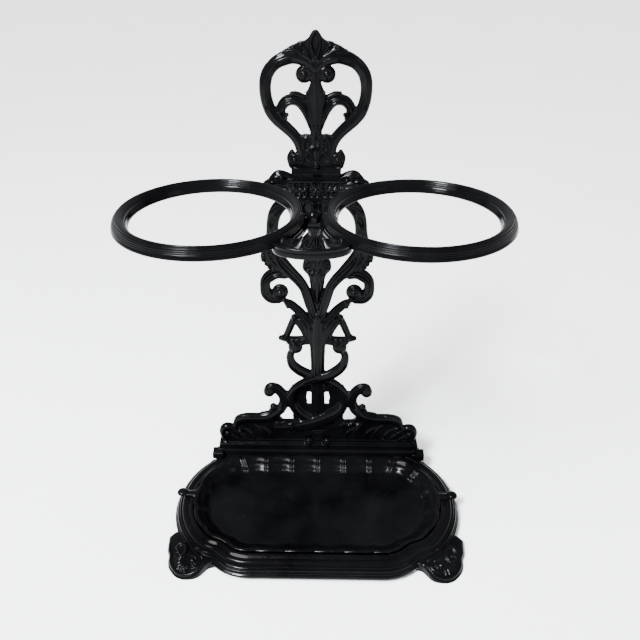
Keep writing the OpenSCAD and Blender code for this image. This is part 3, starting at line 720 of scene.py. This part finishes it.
def back_panel():
    s = Shape()
    for part in (lyre, volutes, stalks, centre_flower, stem, acorns, knot,
                 knot_web, side_scrolls, leaf_base, plinth, crest, ring_arm):
        part(s)
    ob = cast("back_panel_casting", s, 1.05, 2)
    return finish_piece(ob, "stand", ["back_panel"])


# ---- top handle -------------------------------------------------------------

HEART = [(1, 655, 6), (10, 663, 7.5), (20, 667, 8.2), (30, 668.4, 8.6), (42, 665.4, 8.6),
         (51.5, 660, 8), (59.5, 651, 8), (63.6, 640, 8), (64.4, 628, 7.7), (62.8, 615, 7.8),
         (58.3, 602, 8.1), (52, 593.3, 8.1), (44.5, 586, 8), (32.5, 575, 7.4), (24.6, 565, 7.4),
         (20.6, 554, 6.8), (19, 545, 7.4)]
HEART_LEAF = [(4, 578, 4), (8, 591, 5.4), (13, 604, 6.6), (21, 614, 7), (30, 616.8, 7),
              (38.5, 614.4, 7), (44.4, 607.4, 6.6), (46.6, 600, 6), (43.4, 594.6, 4.6)]


def heart(s):
    """Heart-shaped loop with a roll down its front and its back."""
    s.bands(HEART, 7.0, 7.0, k=32)
    s.bands([(p[0], p[1], 1.7, 6.2) for p in HEART[1:]], 1.6, 4, k=12)
    s.bands([(p[0], p[1], 1.7, -6.0) for p in HEART[1:]], 4, 1.6, k=12)


def leaf_arches(s):
    """Leaf arches with their curled, toothed tips."""
    s.bands(HEART_LEAF, 6.2, 5.4, "roll", k=32)
    s.bands([(16, 620.6, 3), (24, 623.8, 3.2), (31, 624.2, 2.8)], 5.4, 4.4, k=16)
    s.balls(31, 114.5, 623.6, 3.0, 3.4, 3.2, n=10)
    for x, z, r in ((37.4, 598.4, 2.8), (39, 593.4, 2.6), (41.4, 603, 2.8)):
        s.balls(x, 112.4, z, r, r + 0.8, r, n=10)
    rolled(s, [(10, 588, 1.5, 4.8), (14.6, 602, 1.6, 5), (22, 611, 1.6, 5), (31, 613.4, 1.6, 5),
               (38, 610, 1.5, 5), (41.6, 603, 1.3, 4.6)], 1.8)


def crown_scrolls(s):
    """Scrolls under the crown."""
    s.balls(14.5, 116, 647.8, 11, 7.4, 11)
    curl(s, (14.5, 647.8, 9.0, 3.6, 170, -150, 2.0, 1.6, 4.2), 3.0, 2, 12)
    s.balls(14.5, 108.6, 647.6, 3.2, 2.8, 3.2, n=8)


def handle_stem(s):
    """Stem with its leaf sheath."""
    s.band([(0, 658, 5), (0, 644, 6), (0, 636, 7.6), (0, 629, 10.4), (0, 622, 13.4), (0, 612, 13.4),
            (0, 600, 10), (0, 586, 7.2), (0, 572, 8)], 5.8, 5.4, "flat", k=36)
    s.band([(0, 650, 3, 0), (0, 636, 4.4, 0), (0, 620, 6.4, 0), (0, 602, 6, 0),
            (0, 584, 5, 0)], 7.6, 4, "ridge",
           k=24)
    s.bands([(4.6, 584, 1.6, 2), (7.4, 602, 2.0, 2.4), (10.2, 615, 2.2, 2.4),
             (11.4, 626, 1.6, 2)], 4.6, 4.0, k=14)
    s.band([(0, 582, 7.4), (0, 577, 8.2)], 7.0, 5.6, n=3)
    s.band([(0, 575, 7.6), (0, 571, 8.2)], 6.6, 5.6, n=3)


def crown_leaf(s):
    """Broad, blunt lobes with a hollow heart."""
    s.plate([(0, 646), (12, 654), (24, 664), (40, 668), (52, 667), (48.6, 671.4), (44.6, 673.8), (41, 675),
             (37, 677.2), (33.4, 680), (30, 681.9), (27, 683), (24, 684.2), (21, 686.2), (18, 686.8),
             (14, 687), (11, 688.9), (8.4, 691), (6.4, 694.4), (4, 698.2), (2, 699.5), (0, 699.6)],
            112, 120, both=True)
    s.bands([(0, 664, 3), (4, 676, 3), (5.8, 686, 2.4), (3, 694, 2.2),
             (0.6, 697, 1.6)], 7.4, 5.0, "round", k=20)
    s.bands([(6, 664, 3), (12, 676, 3.6), (17, 683, 3.2)], 6.8, 5.0, k=20)
    s.bands([(12, 667, 3), (20, 676, 3.8), (26, 679.6, 3.2)], 6.6, 5.0, k=20)
    s.bands([(20, 669, 3), (30, 675.4, 3.8), (38, 674.6, 2.8)], 6.4, 5.0, k=20)
    s.balls(18, 109.4, 682.6, 2.4, 2.6, 2.4, n=8)
    s.balls(27.4, 109.4, 679.6, 2.4, 2.6, 2.4, n=8)
    rolled(s, [(4, 664, 1.4, 5.4), (14, 671.4, 1.5, 5.8), (25, 676.6, 1.5, 5.6), (38, 675.8, 1.3, 5)], 2.2)


def handle_neck(s):
    """Shell between two scrolls."""
    s.plate([(-24, 524), (24, 524), (30, 532), (30, 546), (24, 550), (24, 560), (21, 571), (14, 572.6),
             (7, 571.6), (0, 572), (-7, 571.6), (-14, 572.6), (-21, 571), (-24, 560), (-24, 550),
             (-30, 546), (-30, 532)], 111.4, PANEL_BACK)
    s.balls(28.6, 116, 538.6, 9.9, 7.4, 9.9)
    curl(s, (28.6, 538.6, 8.0, 3.4, 150, -170, 2.0, 1.6, 4.4), 3.0, 2, 12)
    s.balls(28.6, 108.8, 538.6, 2.8, 2.6, 2.8, n=8)
    s.bands([(32.4, 549, 3.2), (36.6, 541, 3.0), (33.8, 530, 3.2)], 5, 4.6)
    for a in (90, 66, 42, 18):
        r = 20 if a > 80 else 19
        p = [(math.cos(math.radians(a)) * q, 531 + math.sin(math.radians(a)) * q, 2.5 * t, 3.4)
             for q, t in ((3, 0.6), (r * 0.55, 1.0), (r, 1.1))]
        s.band(p, 2.6, 3, both=a < 80, n=4, k=14)
    s.bands([(0, 556.4, 2.4, 4.4), (6, 555.4, 2.4, 4.4), (11.4, 550, 2.4, 4.4), (17, 543, 2.2, 4.4),
            (21, 534, 2.2, 4.2)], 3.4, 3, n=5, k=14)
    s.ball(0, 109.6, 532, 4.2, 3.6, 4.2, n=10)
    leaves(s, [(9, 556, 15, 82, 3.0), (3, 558, 13, 90, 2.8), (13, 562, 9, 70, 2.4)], 6.6)
    s.bands([(12, 569.4, 2.4, 1), (16.4, 566, 2.4, 1), (16.6, 558, 2.2, 1),
             (13, 551, 2, 1)], 6.2, 4, "round", k=14)


def handle_foot(s):
    """Foot slab and rear lug."""
    s.bar([(106.2, 521), (106.2, 522.6), (107, 523.6), (106.4, 524.8), (107, 526.4), (108.2, 527),
           (125, 527), (125.8, 526), (125.8, 521), (124.6, 519.2), (107.4, 519.2)], -33.4, 33.4)
    s.bar([(110.6, 512.2), (110.2, 513.4), (111.4, 515.6), (111.4, 518), (110.2, 520.4), (125.4, 520.4),
           (125.8, 512.2)], -32.6, 32.6)
    s.plate([(-21, 488.6), (21, 488.6), (21.8, 489.4), (21.8, 517), (-21.8, 517), (-21.8, 489.4)],
            121.2, 125.8)


def top_handle():
    s = Shape()
    for part in (heart, leaf_arches, crown_scrolls, handle_stem, crown_leaf, handle_neck, handle_foot):
        part(s)
    ob = cast("top_handle_casting", s, 0.85, 2)
    return finish_piece(ob, "stand", ["top_handle"])


# ---- rings, bracket and dome nut --------------------------------------------

RING_X, RING_Y, RING_Z = 126.8, -1.5, 499.4


def ring(side):
    s = Shape()
    prof = [(97.4, RING_Z + 0.9), (98.1, RING_Z + 0.1), (106, RING_Z), (117.4, RING_Z + 0.02),
            (118.2, RING_Z + 0.5),
            (118.3, RING_Z + 1.8), (117.9, RING_Z + 3.0), (117.3, RING_Z + 4.2), (117.0, RING_Z + 5.0)]
    # both faces lean in to the crown, with fine reeds down their upper parts
    for path, count in (([(117.0, 5.0), (116.4, 7.4), (115.2, 9.8), (113.6, 12.0), (111.6, 13.9)], 4.5),
                        ([(110.6, 14.3), (108.6, 14.5), (106.2, 13.5), (103.8, 11.6), (101.6, 9.2),
                          (100.4, 7.4)], 4.5)):
        run = smooth(path, 8)
        last = len(run) - 1
        for i, (r, h) in enumerate(run):
            a, b = run[max(i - 1, 0)], run[min(i + 1, last)]
            d = Vector((b[0] - a[0], b[1] - a[1])).normalized()
            bump = 0.34 - 0.68 * abs(math.sin(math.pi * count * i / last))
            prof.append((r - d.y * bump, RING_Z + h + d.x * bump))
    prof += [(99.6, RING_Z + 6.2), (98.7, RING_Z + 4.6), (97.9, RING_Z + 3.0), (97.4, RING_Z + 1.8)]
    s.lathe(prof, (RING_X * side, RING_Y, 0), seg=224)
    node = "ring_" + SIDES[side]
    ob = put(node + "_casting", s.mesh(node + "_casting"))
    return finish_piece(ob, "stand", [node], PAINT_FINE, angle=50)


def ring_bracket():
    s = Shape()
    z0, z1 = RING_Z - 6, RING_Z - 0.2

    def sector(r0, r1, low, high):
        rings = []
        for i in range(33):
            a = math.radians(158.5 + 61 * i / 32)
            c, t = math.cos(a), math.sin(a)
            rings.append([(RING_X + r0 * c, RING_Y + r0 * t, low), (RING_X + r1 * c, RING_Y + r1 * t, low),
                          (RING_X + r1 * c, RING_Y + r1 * t, high),
    (RING_X + r0 * c, RING_Y + r0 * t, high)])
        s.rings(rings, both=True)

    sector(106.4, 119.6, z0 + 0.1, z1)
    # front band, flat on top with a rolled outer edge
    half = [(-39.6, -70), (-41, -79), (-36, -88), (-26, -93.9), (-13, -97.8)]
    path = smooth(half + [(0, -99)] + [(-x, y) for x, y in reversed(half)], 6)
    rings = []
    for i, (x, y) in enumerate(path):
        a, b = path[max(i - 1, 0)], path[min(i + 1, len(path) - 1)]
        d = Vector((b[0] - a[0], b[1] - a[1])).normalized()
        sec = [(-3.9, 0.1), (2.2, 0.1), (3.4, 0.7), (4.0, 2.2), (4.2, 4.2), (4.0, 6.4), (3.6, 8.2),
               (3.5, 9.2), (4.1, 10.2), (4.3, 11.2), (3.9, 12.4), (2.6, 12.9), (1.4, 12.2),
               (0.6, 11.5), (-2.6, 11.3), (-3.8, 10.6), (-4.2, 9.2), (-4.0, 6)]
        rings.append([(x + d.y * q, y - d.x * q, z0 + h) for q, h in sec])
    s.rings(rings)
    # corner gussets with their cast bosses
    outline = [(13, -56), (15, -70), (19, -84), (26, -92), (34, -88), (39, -80), (37, -70), (28, -61),
               (19, -54)]
    s.slab(outline, z0 + 0.2, z1, both=True)
    s.balls(33.4, -73.5, z1 + 4.6, 3.6, 4.4, 4.4, n=10)
    s.balls(27.4, -78.5, z1 + 3.0, 3.6, 3.6, 3.8, n=10)
    s.balls(23.4, -70.5, z1 + 1.6, 3.0, 3.0, 2.8, n=8)
    s.slab([(20, -64), (23, -90), (33, -90), (40, -80), (39, -72), (32, -67)], z1 - 1, z1 + 5.0, both=True)
    s.tube([(12.6, -52, z1, 1.7), (15.4, -64, z1 + 0.3, 2.0), (18.6, -78, z1 + 1.2, 2.2),
            (24, -88, z1 + 3.0, 2.4)], both=True)
    # waist web
    s.slab([(-14, -9), (14, -9), (12, -2), (12, 6), (-12, 6), (-12, -2)], z0 + 0.1, z1)
    cut = Shape()
    for side in (1, -1):
        cut.lathe([(0.01, z1), (118.6, z1), (118.6, z1 + 3.4), (117.6, z1 + 6), (116.2, z1 + 10),
                   (113, z1 + 20), (0.01, z1 + 20)], (RING_X * side, RING_Y, 0), seg=160)
    ob = cast("ring_bracket_casting", s, 0.7, 2, holes=[cut])
    return finish_piece(ob, "stand", ["ring_bracket"])


def dome_nut():
    s = Shape()
    base = RING_Z - 0.2 + 1.6
    prof = [(0.01, base), (7.6, base), (8.0, base + 0.3), (8.2, base + 1.2), (8.9, base + 2.8),
            (9.5, base + 4.4)]
    for i in range(1, 14):
        a = math.radians(6.5 * i)
        prof.append((max(9.8 * math.cos(a), 0.01), base + 4.8 + 8.1 * math.sin(a)))
    prof.append((0.01, base + 12.92))
    s.lathe(prof, (0, RING_Y, 0), seg=96)
    # six faint flats round its skirt
    for i in range(6):
        a = math.radians(60 * i + 12)
        s.ball(7.5 * math.cos(a), RING_Y + 7.5 * math.sin(a), base + 1.7, 1.1, 1.1, 1.3, n=8)
    ob = cast("bracket_dome_nut_casting", s, 0.45, 2)
    return finish_piece(ob, "stand", ["bracket_dome_nut"], PAINT_FINE)


# ---- base, feet and panel bolts ---------------------------------------------

BASE_X, BASE_Y = 86.0, 5.0
FOOT_SCREW_X, FOOT_SCREW_Y = 173, 87
BOLT_PLACE = (15, 113, 0)
TAB_Y = 12


def dent(phi):
    """How far the rim's mouldings step in at a front corner, phi in degrees from +X."""
    return -5.5 * math.exp(-((phi + 59) / 8.5) ** 2) + 1.2 * math.exp(-((phi + 80) / 9) ** 2)


def sweep_stations(back):
    """(centre x, direction degrees) round the front and both ends, up to back degrees behind."""
    out = []
    n = 96
    for i in range(n + 1):
        out.append((BASE_X, back - (back + 90) * i / n))
    for i in range(1, 24):
        out.append((BASE_X - 2 * BASE_X * i / 24, -90.0))
    for i in range(n + 1):
        out.append((-BASE_X, -90 - (back + 90) * i / n))
    return out


def base_casting():
    s = Shape()
    prof = [(108.8, 9), (108.8, 26.6), (109.3, 27.4), (110.8, 27.6), (112.6, 27.0),
            (114.6, 25.7), (116.2, 24.9), (117.2, 25.4), (118.6, 26.4), (120.8, 26.7), (122.8, 26.2),
    (124.4, 25.1),
            (125.2, 23.9), (125.6, 23.0), (126.2, 22.8), (127.2, 23.1), (128.4, 22.9), (129.3, 22.0),
            (129.5, 20.9), (129.4, 20.2), (130.0, 19.8), (131.2, 19.9), (132.2, 19.4), (132.8, 18.4),
            (132.8, 17.3), (132.6, 16.6), (133.2, 16.2), (134.2, 15.9), (134.8, 15.0), (134.8, 13.9),
            (134.6, 13.2), (135.4, 12.7), (136.4, 12.0), (136.9, 10.8), (137, 9.4), (136.6, 8.1),
            (132.4, 8.1), (131, 15), (127, 20), (114, 20), (114, 9)]
    rings = []
    for cx, phi in sweep_stations(66):
        a = math.radians(phi)
        lateral = phi if cx > 0 else -180 - phi
        d = dent(lateral)
        rings.append([(cx + (r + d) * math.cos(a), BASE_Y + (r + d) * math.sin(a), z) for r, z in prof])
    s.rings(rings)
    outline = [(cx + 112 * math.cos(math.radians(phi)), BASE_Y + 112 * math.sin(math.radians(phi)))
               for cx, phi in sweep_stations(64)]
    outline = [(x, min(y, 105.0)) for x, y in outline]
    s.slab(outline, 9.0, 12.0)
    # ledge at the back, hollow under the panel's bolts
    s.bar([(104, 20), (104, 25.4), (104.6, 26), (131.2, 26), (132, 25.2), (132, 20)], -172, 172)
    s.bar([(103.6, 8.2), (103.6, 25), (104.4, 25.8), (105.7, 25.8), (105.7, 8.2)], -172, 172)
    s.bar([(126.9, 8.2), (126.9, 22), (131.9, 22), (131.9, 9), (131.2, 8.2)], -172, 172)
    s.bar([(104.5, 8.4), (104.5, 22), (130, 22), (130, 8.4)], -4, 4)
    corner = [(126.2, 103.6), (175, 103.6), (176, 104.8), (176, 122)]
    for i in range(9):
        a = math.radians(90 * i / 8)
        corner.append((166 + 10 * math.cos(a), 122 + 9.9 * math.sin(a)))
    corner.append((126.2, 131.9))
    s.slab(corner, 8.2, 25.2, both=True)
    s.slab([(x - 0.5 if x > 150 else x, y + 0.5 if y < 110 else y - 0.5) for x, y in corner],
           25.0, 25.95, both=True)
    # pads that the feet screw into
    for y in (BASE_Y - FOOT_SCREW_Y, BASE_Y + FOOT_SCREW_Y):
        s.lathe([(2.6, 8.2), (8.5, 8.2), (9.5, 20.2), (2.6, 20.2)], (FOOT_SCREW_X, y, 0), seg=32, both=True)
    name = "base_casting_visual"
    ob = put(name, s.mesh(name))
    return finish_piece(ob, "stand", ["base_casting"], angle=32)


def screw_bore(side, y):
    """Cutter for a foot's screw, with room for the head below."""
    cut = Shape()
    cut.lathe([(0.01, -1), (5.4, -1), (5.4, 4), (2.6, 4), (2.6, 30), (0.01, 30)],
              (FOOT_SCREW_X * side, y, 0), seg=32)
    return cut


def front_foot(side):
    s = Shape()
    edge = [(222, -60), (221.5, -72), (220.5, -83), (217, -92), (216.5, -101), (213.5, -111),
            (207, -120), (199.5, -127), (190, -130.6), (180, -130.6), (171.5, -128.5),
            (166, -124.5), (161, -118), (155, -111), (146, -108), (140, -100), (150, -86),
            (170, -76), (196, -60), (210, -52)]
    loop = smooth(edge + edge[:1], 4)[:-1]
    cx, cy = 185.0, -98.0

    def height(x, y):
        from_base = math.hypot(x - BASE_X, y - BASE_Y)
        h = 4.2 + 11.5 * step(178, 132, from_base)
        u = math.hypot(x - 195, y + 106)
        h += 1.7 * math.exp(-(u / 11.0) ** 2)
        return h

    rings = []
    for k, drop in ((0.02, 0), (0.2, 0), (0.4, 0), (0.6, 0), (0.76, 0), (0.88, 0.3), (0.95, 1.1),
                    (0.985, 2.2), (1.0, 3.4)):
        rings.append([(cx + (x - cx) * k, cy + (y - cy) * k,
                       max(height(cx + (x - cx) * k, cy + (y - cy) * k) - drop, 1.2)) for x, y in loop])
    rings.append([(x, y, 0.05) for x, y in loop])
    rings.append([(cx + (x - cx) * 0.02, cy + (y - cy) * 0.02, 0.05) for x, y in loop])
    s.rings([r[::-1] for r in rings])

    def line(points, lift=0.6):
        s.tube([(x, y, height(x, y) + lift, r) for x, y, r in points], n=5, k=12)

    # rolled border, big C scroll with its eye, shell flutes and small leaf
    line([(218, -72, 1.6), (216.5, -84, 1.9), (213, -93, 1.9), (212.5, -101, 1.9), (209.5, -109, 2.0),
          (203.5, -117.5, 2.2), (196.5, -123.6, 2.2), (188, -126.6, 2.2), (179.5, -126.6, 2.0),
          (172, -124, 1.9), (166, -118.5, 1.7), (160.5, -112, 1.4)], 0.1)
    line([(207, -84, 1.6), (202, -78, 2.0), (195, -79, 2.2), (190.5, -86, 2.4), (191, -95, 2.5),
          (197, -101, 2.3), (203, -99, 2.0), (205.5, -93.5, 1.8), (202, -89.5, 1.8)], 0.7)
    s.ball(200.5, -92.5, height(200, -92) + 0.8, 2.6, 2.6, 2.2, n=10)
    line([(166, -113, 1.4), (171, -118, 2.0), (178, -119.5, 2.2), (183, -115, 2.2), (182, -109, 2.0),
          (177, -107.5, 1.8), (174.5, -111, 1.6)], 0.7)
    s.ball(178, -112.5, height(178, -112) + 0.6, 2.3, 2.3, 2.0, n=10)
    for a, r0, r1 in ((-86, 9, 20), (-68, 8, 20), (-50, 8, 19), (-32, 8, 18), (-14, 8, 16)):
        c, t = heading(a)
        line([(187 + r0 * c, -101 + r0 * t, 1.3), (187 + (r0 + r1) / 2 * c, -101 + (r0 + r1) / 2 * t, 2.2),
              (187 + r1 * c, -101 + r1 * t, 1.5)], -0.2)
    line([(184, -84, 1.4), (177, -90, 2.0), (171, -98, 2.2), (164, -103, 1.6)], 0.2)
    line([(186, -97, 1.5), (180, -99, 2.2), (174, -103, 1.6)], 0.2)
    if side < 0:
        s.mirror()
    node = "foot_front_" + SIDES[side]
    ob = cast(node + "_casting", s, 0.75, 2, holes=[screw_bore(side, BASE_Y - FOOT_SCREW_Y)])
    return finish_piece(ob, "stand", [node])


def rear_foot(side):
    s = Shape()
    cx, cy = 167.0, 87.0
    loop = []
    for i in range(72):
        a = 2 * math.pi * i / 72
        r = 15.8 + 0.8 * math.cos(6 * a)
        loop.append((cx + r * math.cos(a), cy + r * math.sin(a)))
    rings = []
    for k, z in ((0.02, 8.0), (0.3, 8.0), (0.6, 7.9), (0.8, 7.7), (0.93, 7.0), (0.985, 5.4), (1.0, 3.6),
                 (1.0, 0.05), (0.02, 0.05)):
        rings.append([(cx + (x - cx) * k, cy + (y - cy) * k, z) for x, y in loop])
    s.rings([r[::-1] for r in rings])
    s.lathe([(0.01, 0.05), (12.4, 0.05), (12.8, 3.6), (12.2, 7.2), (11, 8.0), (0.01, 8.0)],
            (FOOT_SCREW_X, BASE_Y + FOOT_SCREW_Y, 0), seg=48)
    for a in (-60, -30, 0, 30, 60, 90, 120):
        c, t = heading(a)
        s.tube([(cx + 9 * c, cy + 9 * t, 7.0, 0.9), (cx + 12.5 * c, cy + 12.5 * t, 6.9, 1.2),
                (cx + 15.4 * c, cy + 15.4 * t, 5.0, 0.9)], n=4, k=12)
    if side < 0:
        s.mirror()
    node = "foot_rear_" + SIDES[side]
    ob = cast(node + "_casting", s, 0.8, 2, holes=[screw_bore(side, BASE_Y + FOOT_SCREW_Y)])
    return finish_piece(ob, "stand", [node])


def panel_bolts():
    s = Shape()
    head = [(0.01, 54.0), (5.4, 54.0), (5.9, 54.5), (5.9, 56.0)]
    for i in range(1, 10):
        a = math.radians(9.6 * i)
        head.append((max(5.9 * math.cos(a), 0.01), 56.0 + 3.2 * math.sin(a)))
    head.append((0.01, 59.3))
    s.lathe(head, BOLT_PLACE, seg=40, both=True)
    s.lathe([(0.01, 9.0), (2.4, 9.0), (2.9, 9.6), (2.9, 54.4), (0.01, 54.4)], BOLT_PLACE, seg=24, both=True)
    name = "panel_bolts_turned"
    ob = put(name, s.mesh(name))
    return finish_piece(ob, "stand", ["panel_bolts"], PAINT_FINE)


# ---- drip tray --------------------------------------------------------------

def tray_stations():
    """(skeleton x, direction degrees, lobe phase) once round, whole phases at the rib groups."""
    half = []
    for i in range(172):
        x = 86 * i / 172
        half.append((x, -90.0, x / 43.0))
    for i in range(600):
        phi = -90 + 155 * i / 600
        half.append((BASE_X, phi, 2 + (phi + 90) / 25.83))
    for i in range(90):
        x = 131 - 45 * i / 90
        phi = math.degrees(math.atan2(97.0, x - BASE_X))
        half.append((BASE_X, phi, 8 + (131 - x) / 43.67))
    for i in range(173):
        x = 86 - 86 * i / 172
        half.append((x, 90.0, 8 + (131 - x) / 43.67))
    return half + [(-x, 180 - phi, ph) for x, phi, ph in reversed(half[1:-1])]


def drip_tray():
    s = Shape()
    stations = tray_stations()
    # radius of the ends, y of the straight back, height, lobe depth, rib depth
    inner = [(8, 12, 15.0, 0, 0), (30, 30, 15.05, 0, 0), (55, 52, 15.1, 0, 0), (70, 64, 15.15, 0, 0.1),
             (77, 70, 15.25, 0.2, 0.6), (81, 73.6, 15.5, 0.7, 1.1), (84.2, 76.4, 16.4, 1.4, 1.4),
             (86.6, 78.8, 18.2, 1.9, 1.5), (88.6, 81.0, 20.6, 2.0, 1.5), (90.6, 83.4, 22.8, 1.8, 1.5),
             (93.2, 86.4, 24.4, 1.4, 1.3), (96.0, 89.6, 25.7, 1.6, 1.2), (98.2, 92.4, 27.3, 2.1, 1.1),
             (99.8, 94.4, 29.2, 2.2, 0.9), (102.2, 97.2, 30.6, 2.1, 0.5),
             (104.6, 99.6, 31.0, 2.0, 0.2), (106.2, 101.2, 30.6, 1.9, 0), (106.8, 101.8, 29.8, 1.8, 0)]
    outer = [(106.2, 101.2, 28.6, 1.8, 0), (103, 98.4, 27.4, 1.6, 0), (99.6, 94.4, 24.4, 1.5, 0),
             (96, 90, 21.4, 1.4, 0), (91.6, 84.2, 18.4, 1.4, 0), (87.6, 79.4, 14.6, 1, 0),
             (82.6, 74.6, 12.4, 0.4, 0), (60, 56, 12.2, 0, 0), (8, 12, 12.2, 0, 0)]

    def ring(row):
        big, back, z, lobe, rib = row
        pts = []
        for x, phi, ph in stations:
            a = math.radians(phi)
            side = phi if phi <= 90 else 180 - phi
            t = ph - math.floor(ph) - 0.5
            bulge = 1 - abs(2 * t) ** 2.2
            fold = step(0.35, 0.39, abs(t))
            ribs = fold * (0.5 + 0.5 * math.cos(2 * math.pi * t * 12))
            d = lobe * (bulge - 0.45) - rib * 0.75 * ribs
            behind = step(20, 70, side)
            r = big + dent(side) * step(60, 104, big) * 0.85 + d * (1 - 0.15 * behind)
            if math.sin(a) > 0:
                wall = (back - BASE_Y + d) / math.sin(a)
                r = (r ** -26 + wall ** -26) ** (-1 / 26)
            lift = 0.0
            if z > 27:
                lift = 1.5 * (bulge - 1.0) * step(27, 31, z)
            pts.append((x + r * math.cos(a), BASE_Y + r * math.sin(a), z + lift))
        return pts

    s.rings([ring(row) for row in inner + outer])
    # lifting tabs
    for side in (1, -1):
        s.rings([[(side * x, TAB_Y + w * across, z)
                  for across, z in ((-1, 28.6), (-0.8, 30.0), (-0.3, 30.8), (0.3, 30.8), (0.8, 30.0),
                                    (1, 28.6), (0.8, 27.4), (-0.8, 27.4))]
                 for x, w in ((188, 8.0), (193, 7.6), (199, 6.8), (205, 6.2), (209, 5.6), (214, 5.0))])
        s.ball(213.5 * side, TAB_Y, 30.8, 8.4, 8.4, 4.5, n=14)
        s.tube([(196 * side, 5.4, 29.0, 1.2), (204 * side, 5.8, 29.4, 1.4),
                (210 * side, 5, 29.6, 1.2)], n=3)
    name = "drip_tray_casting"
    ob = put(name, s.mesh(name))
    return finish_piece(ob, "tray", ["drip_tray"], angle=50)


base_casting()
for side in (1, -1):
    front_foot(side)
    rear_foot(side)
    ring(side)
panel_bolts()
drip_tray()
back_panel()
top_handle()
ring_bracket()
dome_nut()

for node in ("foot_screws", "panel_washers", "panel_nuts", "panel_end_screws", "handle_screws",
             "ring_screws", "bracket_bolt", "bracket_washers"):
    ob = bpy.data.objects[node]
    ob.data.materials.clear()
    ob.data.materials.append(PAINT_FINE if node.startswith("bracket_") else STEEL)


# ---- floor, light and camera ------------------------------------------------

def floor():
    me = bpy.data.meshes.new("studio_floor")
    n, size = 24, 16.0
    verts = [((i / n - 0.5) * size, (j / n - 0.5) * size, 0) for j in range(n + 1) for i in range(n + 1)]
    faces = [(j * (n + 1) + i, j * (n + 1) + i + 1, (j + 1) * (n + 1) + i + 1, (j + 1) * (n + 1) + i)
             for j in range(n) for i in range(n)]
    me.from_pydata(verts, [], faces)
    ob = put("studio_floor", me)
    mat, tree, sh = nodes_of("pale_floor")
    co = tree.nodes.new("ShaderNodeTexCoord").outputs["Object"]
    tree.links.new(ramp(tree, noise(tree, co, 2.5, 4.0),
                        [(0.3, (0.83, 0.828, 0.82)), (0.7, (0.86, 0.858, 0.85))]), sh.inputs["Base Color"])
    sh.inputs["Roughness"].default_value = 0.75
    sh.inputs["Specular IOR Level"].default_value = 0.18
    ob.data.materials.append(mat)


def area_light(name, place, aim, size, watts, colour=(1, 1, 1)):
    lamp = bpy.data.lights.new(name, "AREA")
    lamp.shape = "RECTANGLE"
    lamp.size, lamp.size_y = size
    lamp.energy = watts
    lamp.color = colour
    ob = bpy.data.objects.new(name, lamp)
    ob.location = place
    ob.rotation_euler = (Vector(aim) - Vector(place)).to_track_quat("-Z", "Y").to_euler()
    bpy.context.scene.collection.objects.link(ob)


def sky_light():
    """A broad, soft light from above the viewer's left shoulder."""
    sun = bpy.data.lights.new("sky", "SUN")
    sun.energy = 9.2
    sun.angle = math.radians(28)
    ob = bpy.data.objects.new("sky", sun)
    ob.rotation_euler = Vector((0.8, 0.7, -1.9)).to_track_quat("-Z", "Y").to_euler()
    bpy.context.scene.collection.objects.link(ob)


def studio_room():
    """Pale low down and all round, and darker overhead."""
    world = bpy.data.worlds.new("studio")
    bpy.context.scene.world = world
    world.use_nodes = True
    tree = world.node_tree
    way = tree.nodes.new("ShaderNodeSeparateXYZ")
    tree.links.new(tree.nodes.new("ShaderNodeTexCoord").outputs["Generated"], way.inputs[0])
    shades = [(0.0, (0.95, 0.96, 0.98)), (0.5, (0.8, 0.82, 0.86)), (0.8, (0.34, 0.35, 0.38))]
    background = tree.nodes["Background"]
    tree.links.new(ramp(tree, way.outputs[2], shades), background.inputs["Color"])
    background.inputs["Strength"].default_value = 1.2


def camera():
    cam = bpy.data.cameras.new("photo_view")
    cam.lens = 38.25
    cam.sensor_width = 36.0
    cam.clip_end = 60
    yaw, pitch, roll = (math.radians(a) for a in (-1.3006, 30.5897, -0.2624))
    fw = Vector((math.sin(yaw) * math.cos(pitch), math.cos(yaw) * math.cos(pitch), -math.sin(pitch)))
    r0 = Vector((math.cos(yaw), -math.sin(yaw), 0))
    u0 = r0.cross(fw)
    right = r0 * math.cos(roll) + u0 * math.sin(roll)
    up = u0 * math.cos(roll) - r0 * math.sin(roll)
    m = Matrix((right, up, -fw)).transposed().to_4x4()
    m.translation = Vector((0.02428, -0.77606, 0.81662))
    ob = bpy.data.objects.new("photo_view", cam)
    ob.matrix_world = m
    bpy.context.scene.collection.objects.link(ob)
    bpy.context.scene.camera = ob


floor()
area_light("key", (-1.1, -1.5, 2.3), (0, 0, 0.3), (0.56, 0.5), 330, (0.88, 0.94, 1.0))
area_light("fill", (1.9, -1.0, 2.2), (0, 0, 0.3), (0.9, 0.7), 10, (0.82, 0.9, 1.0))
sky_light()
studio_room()
camera()
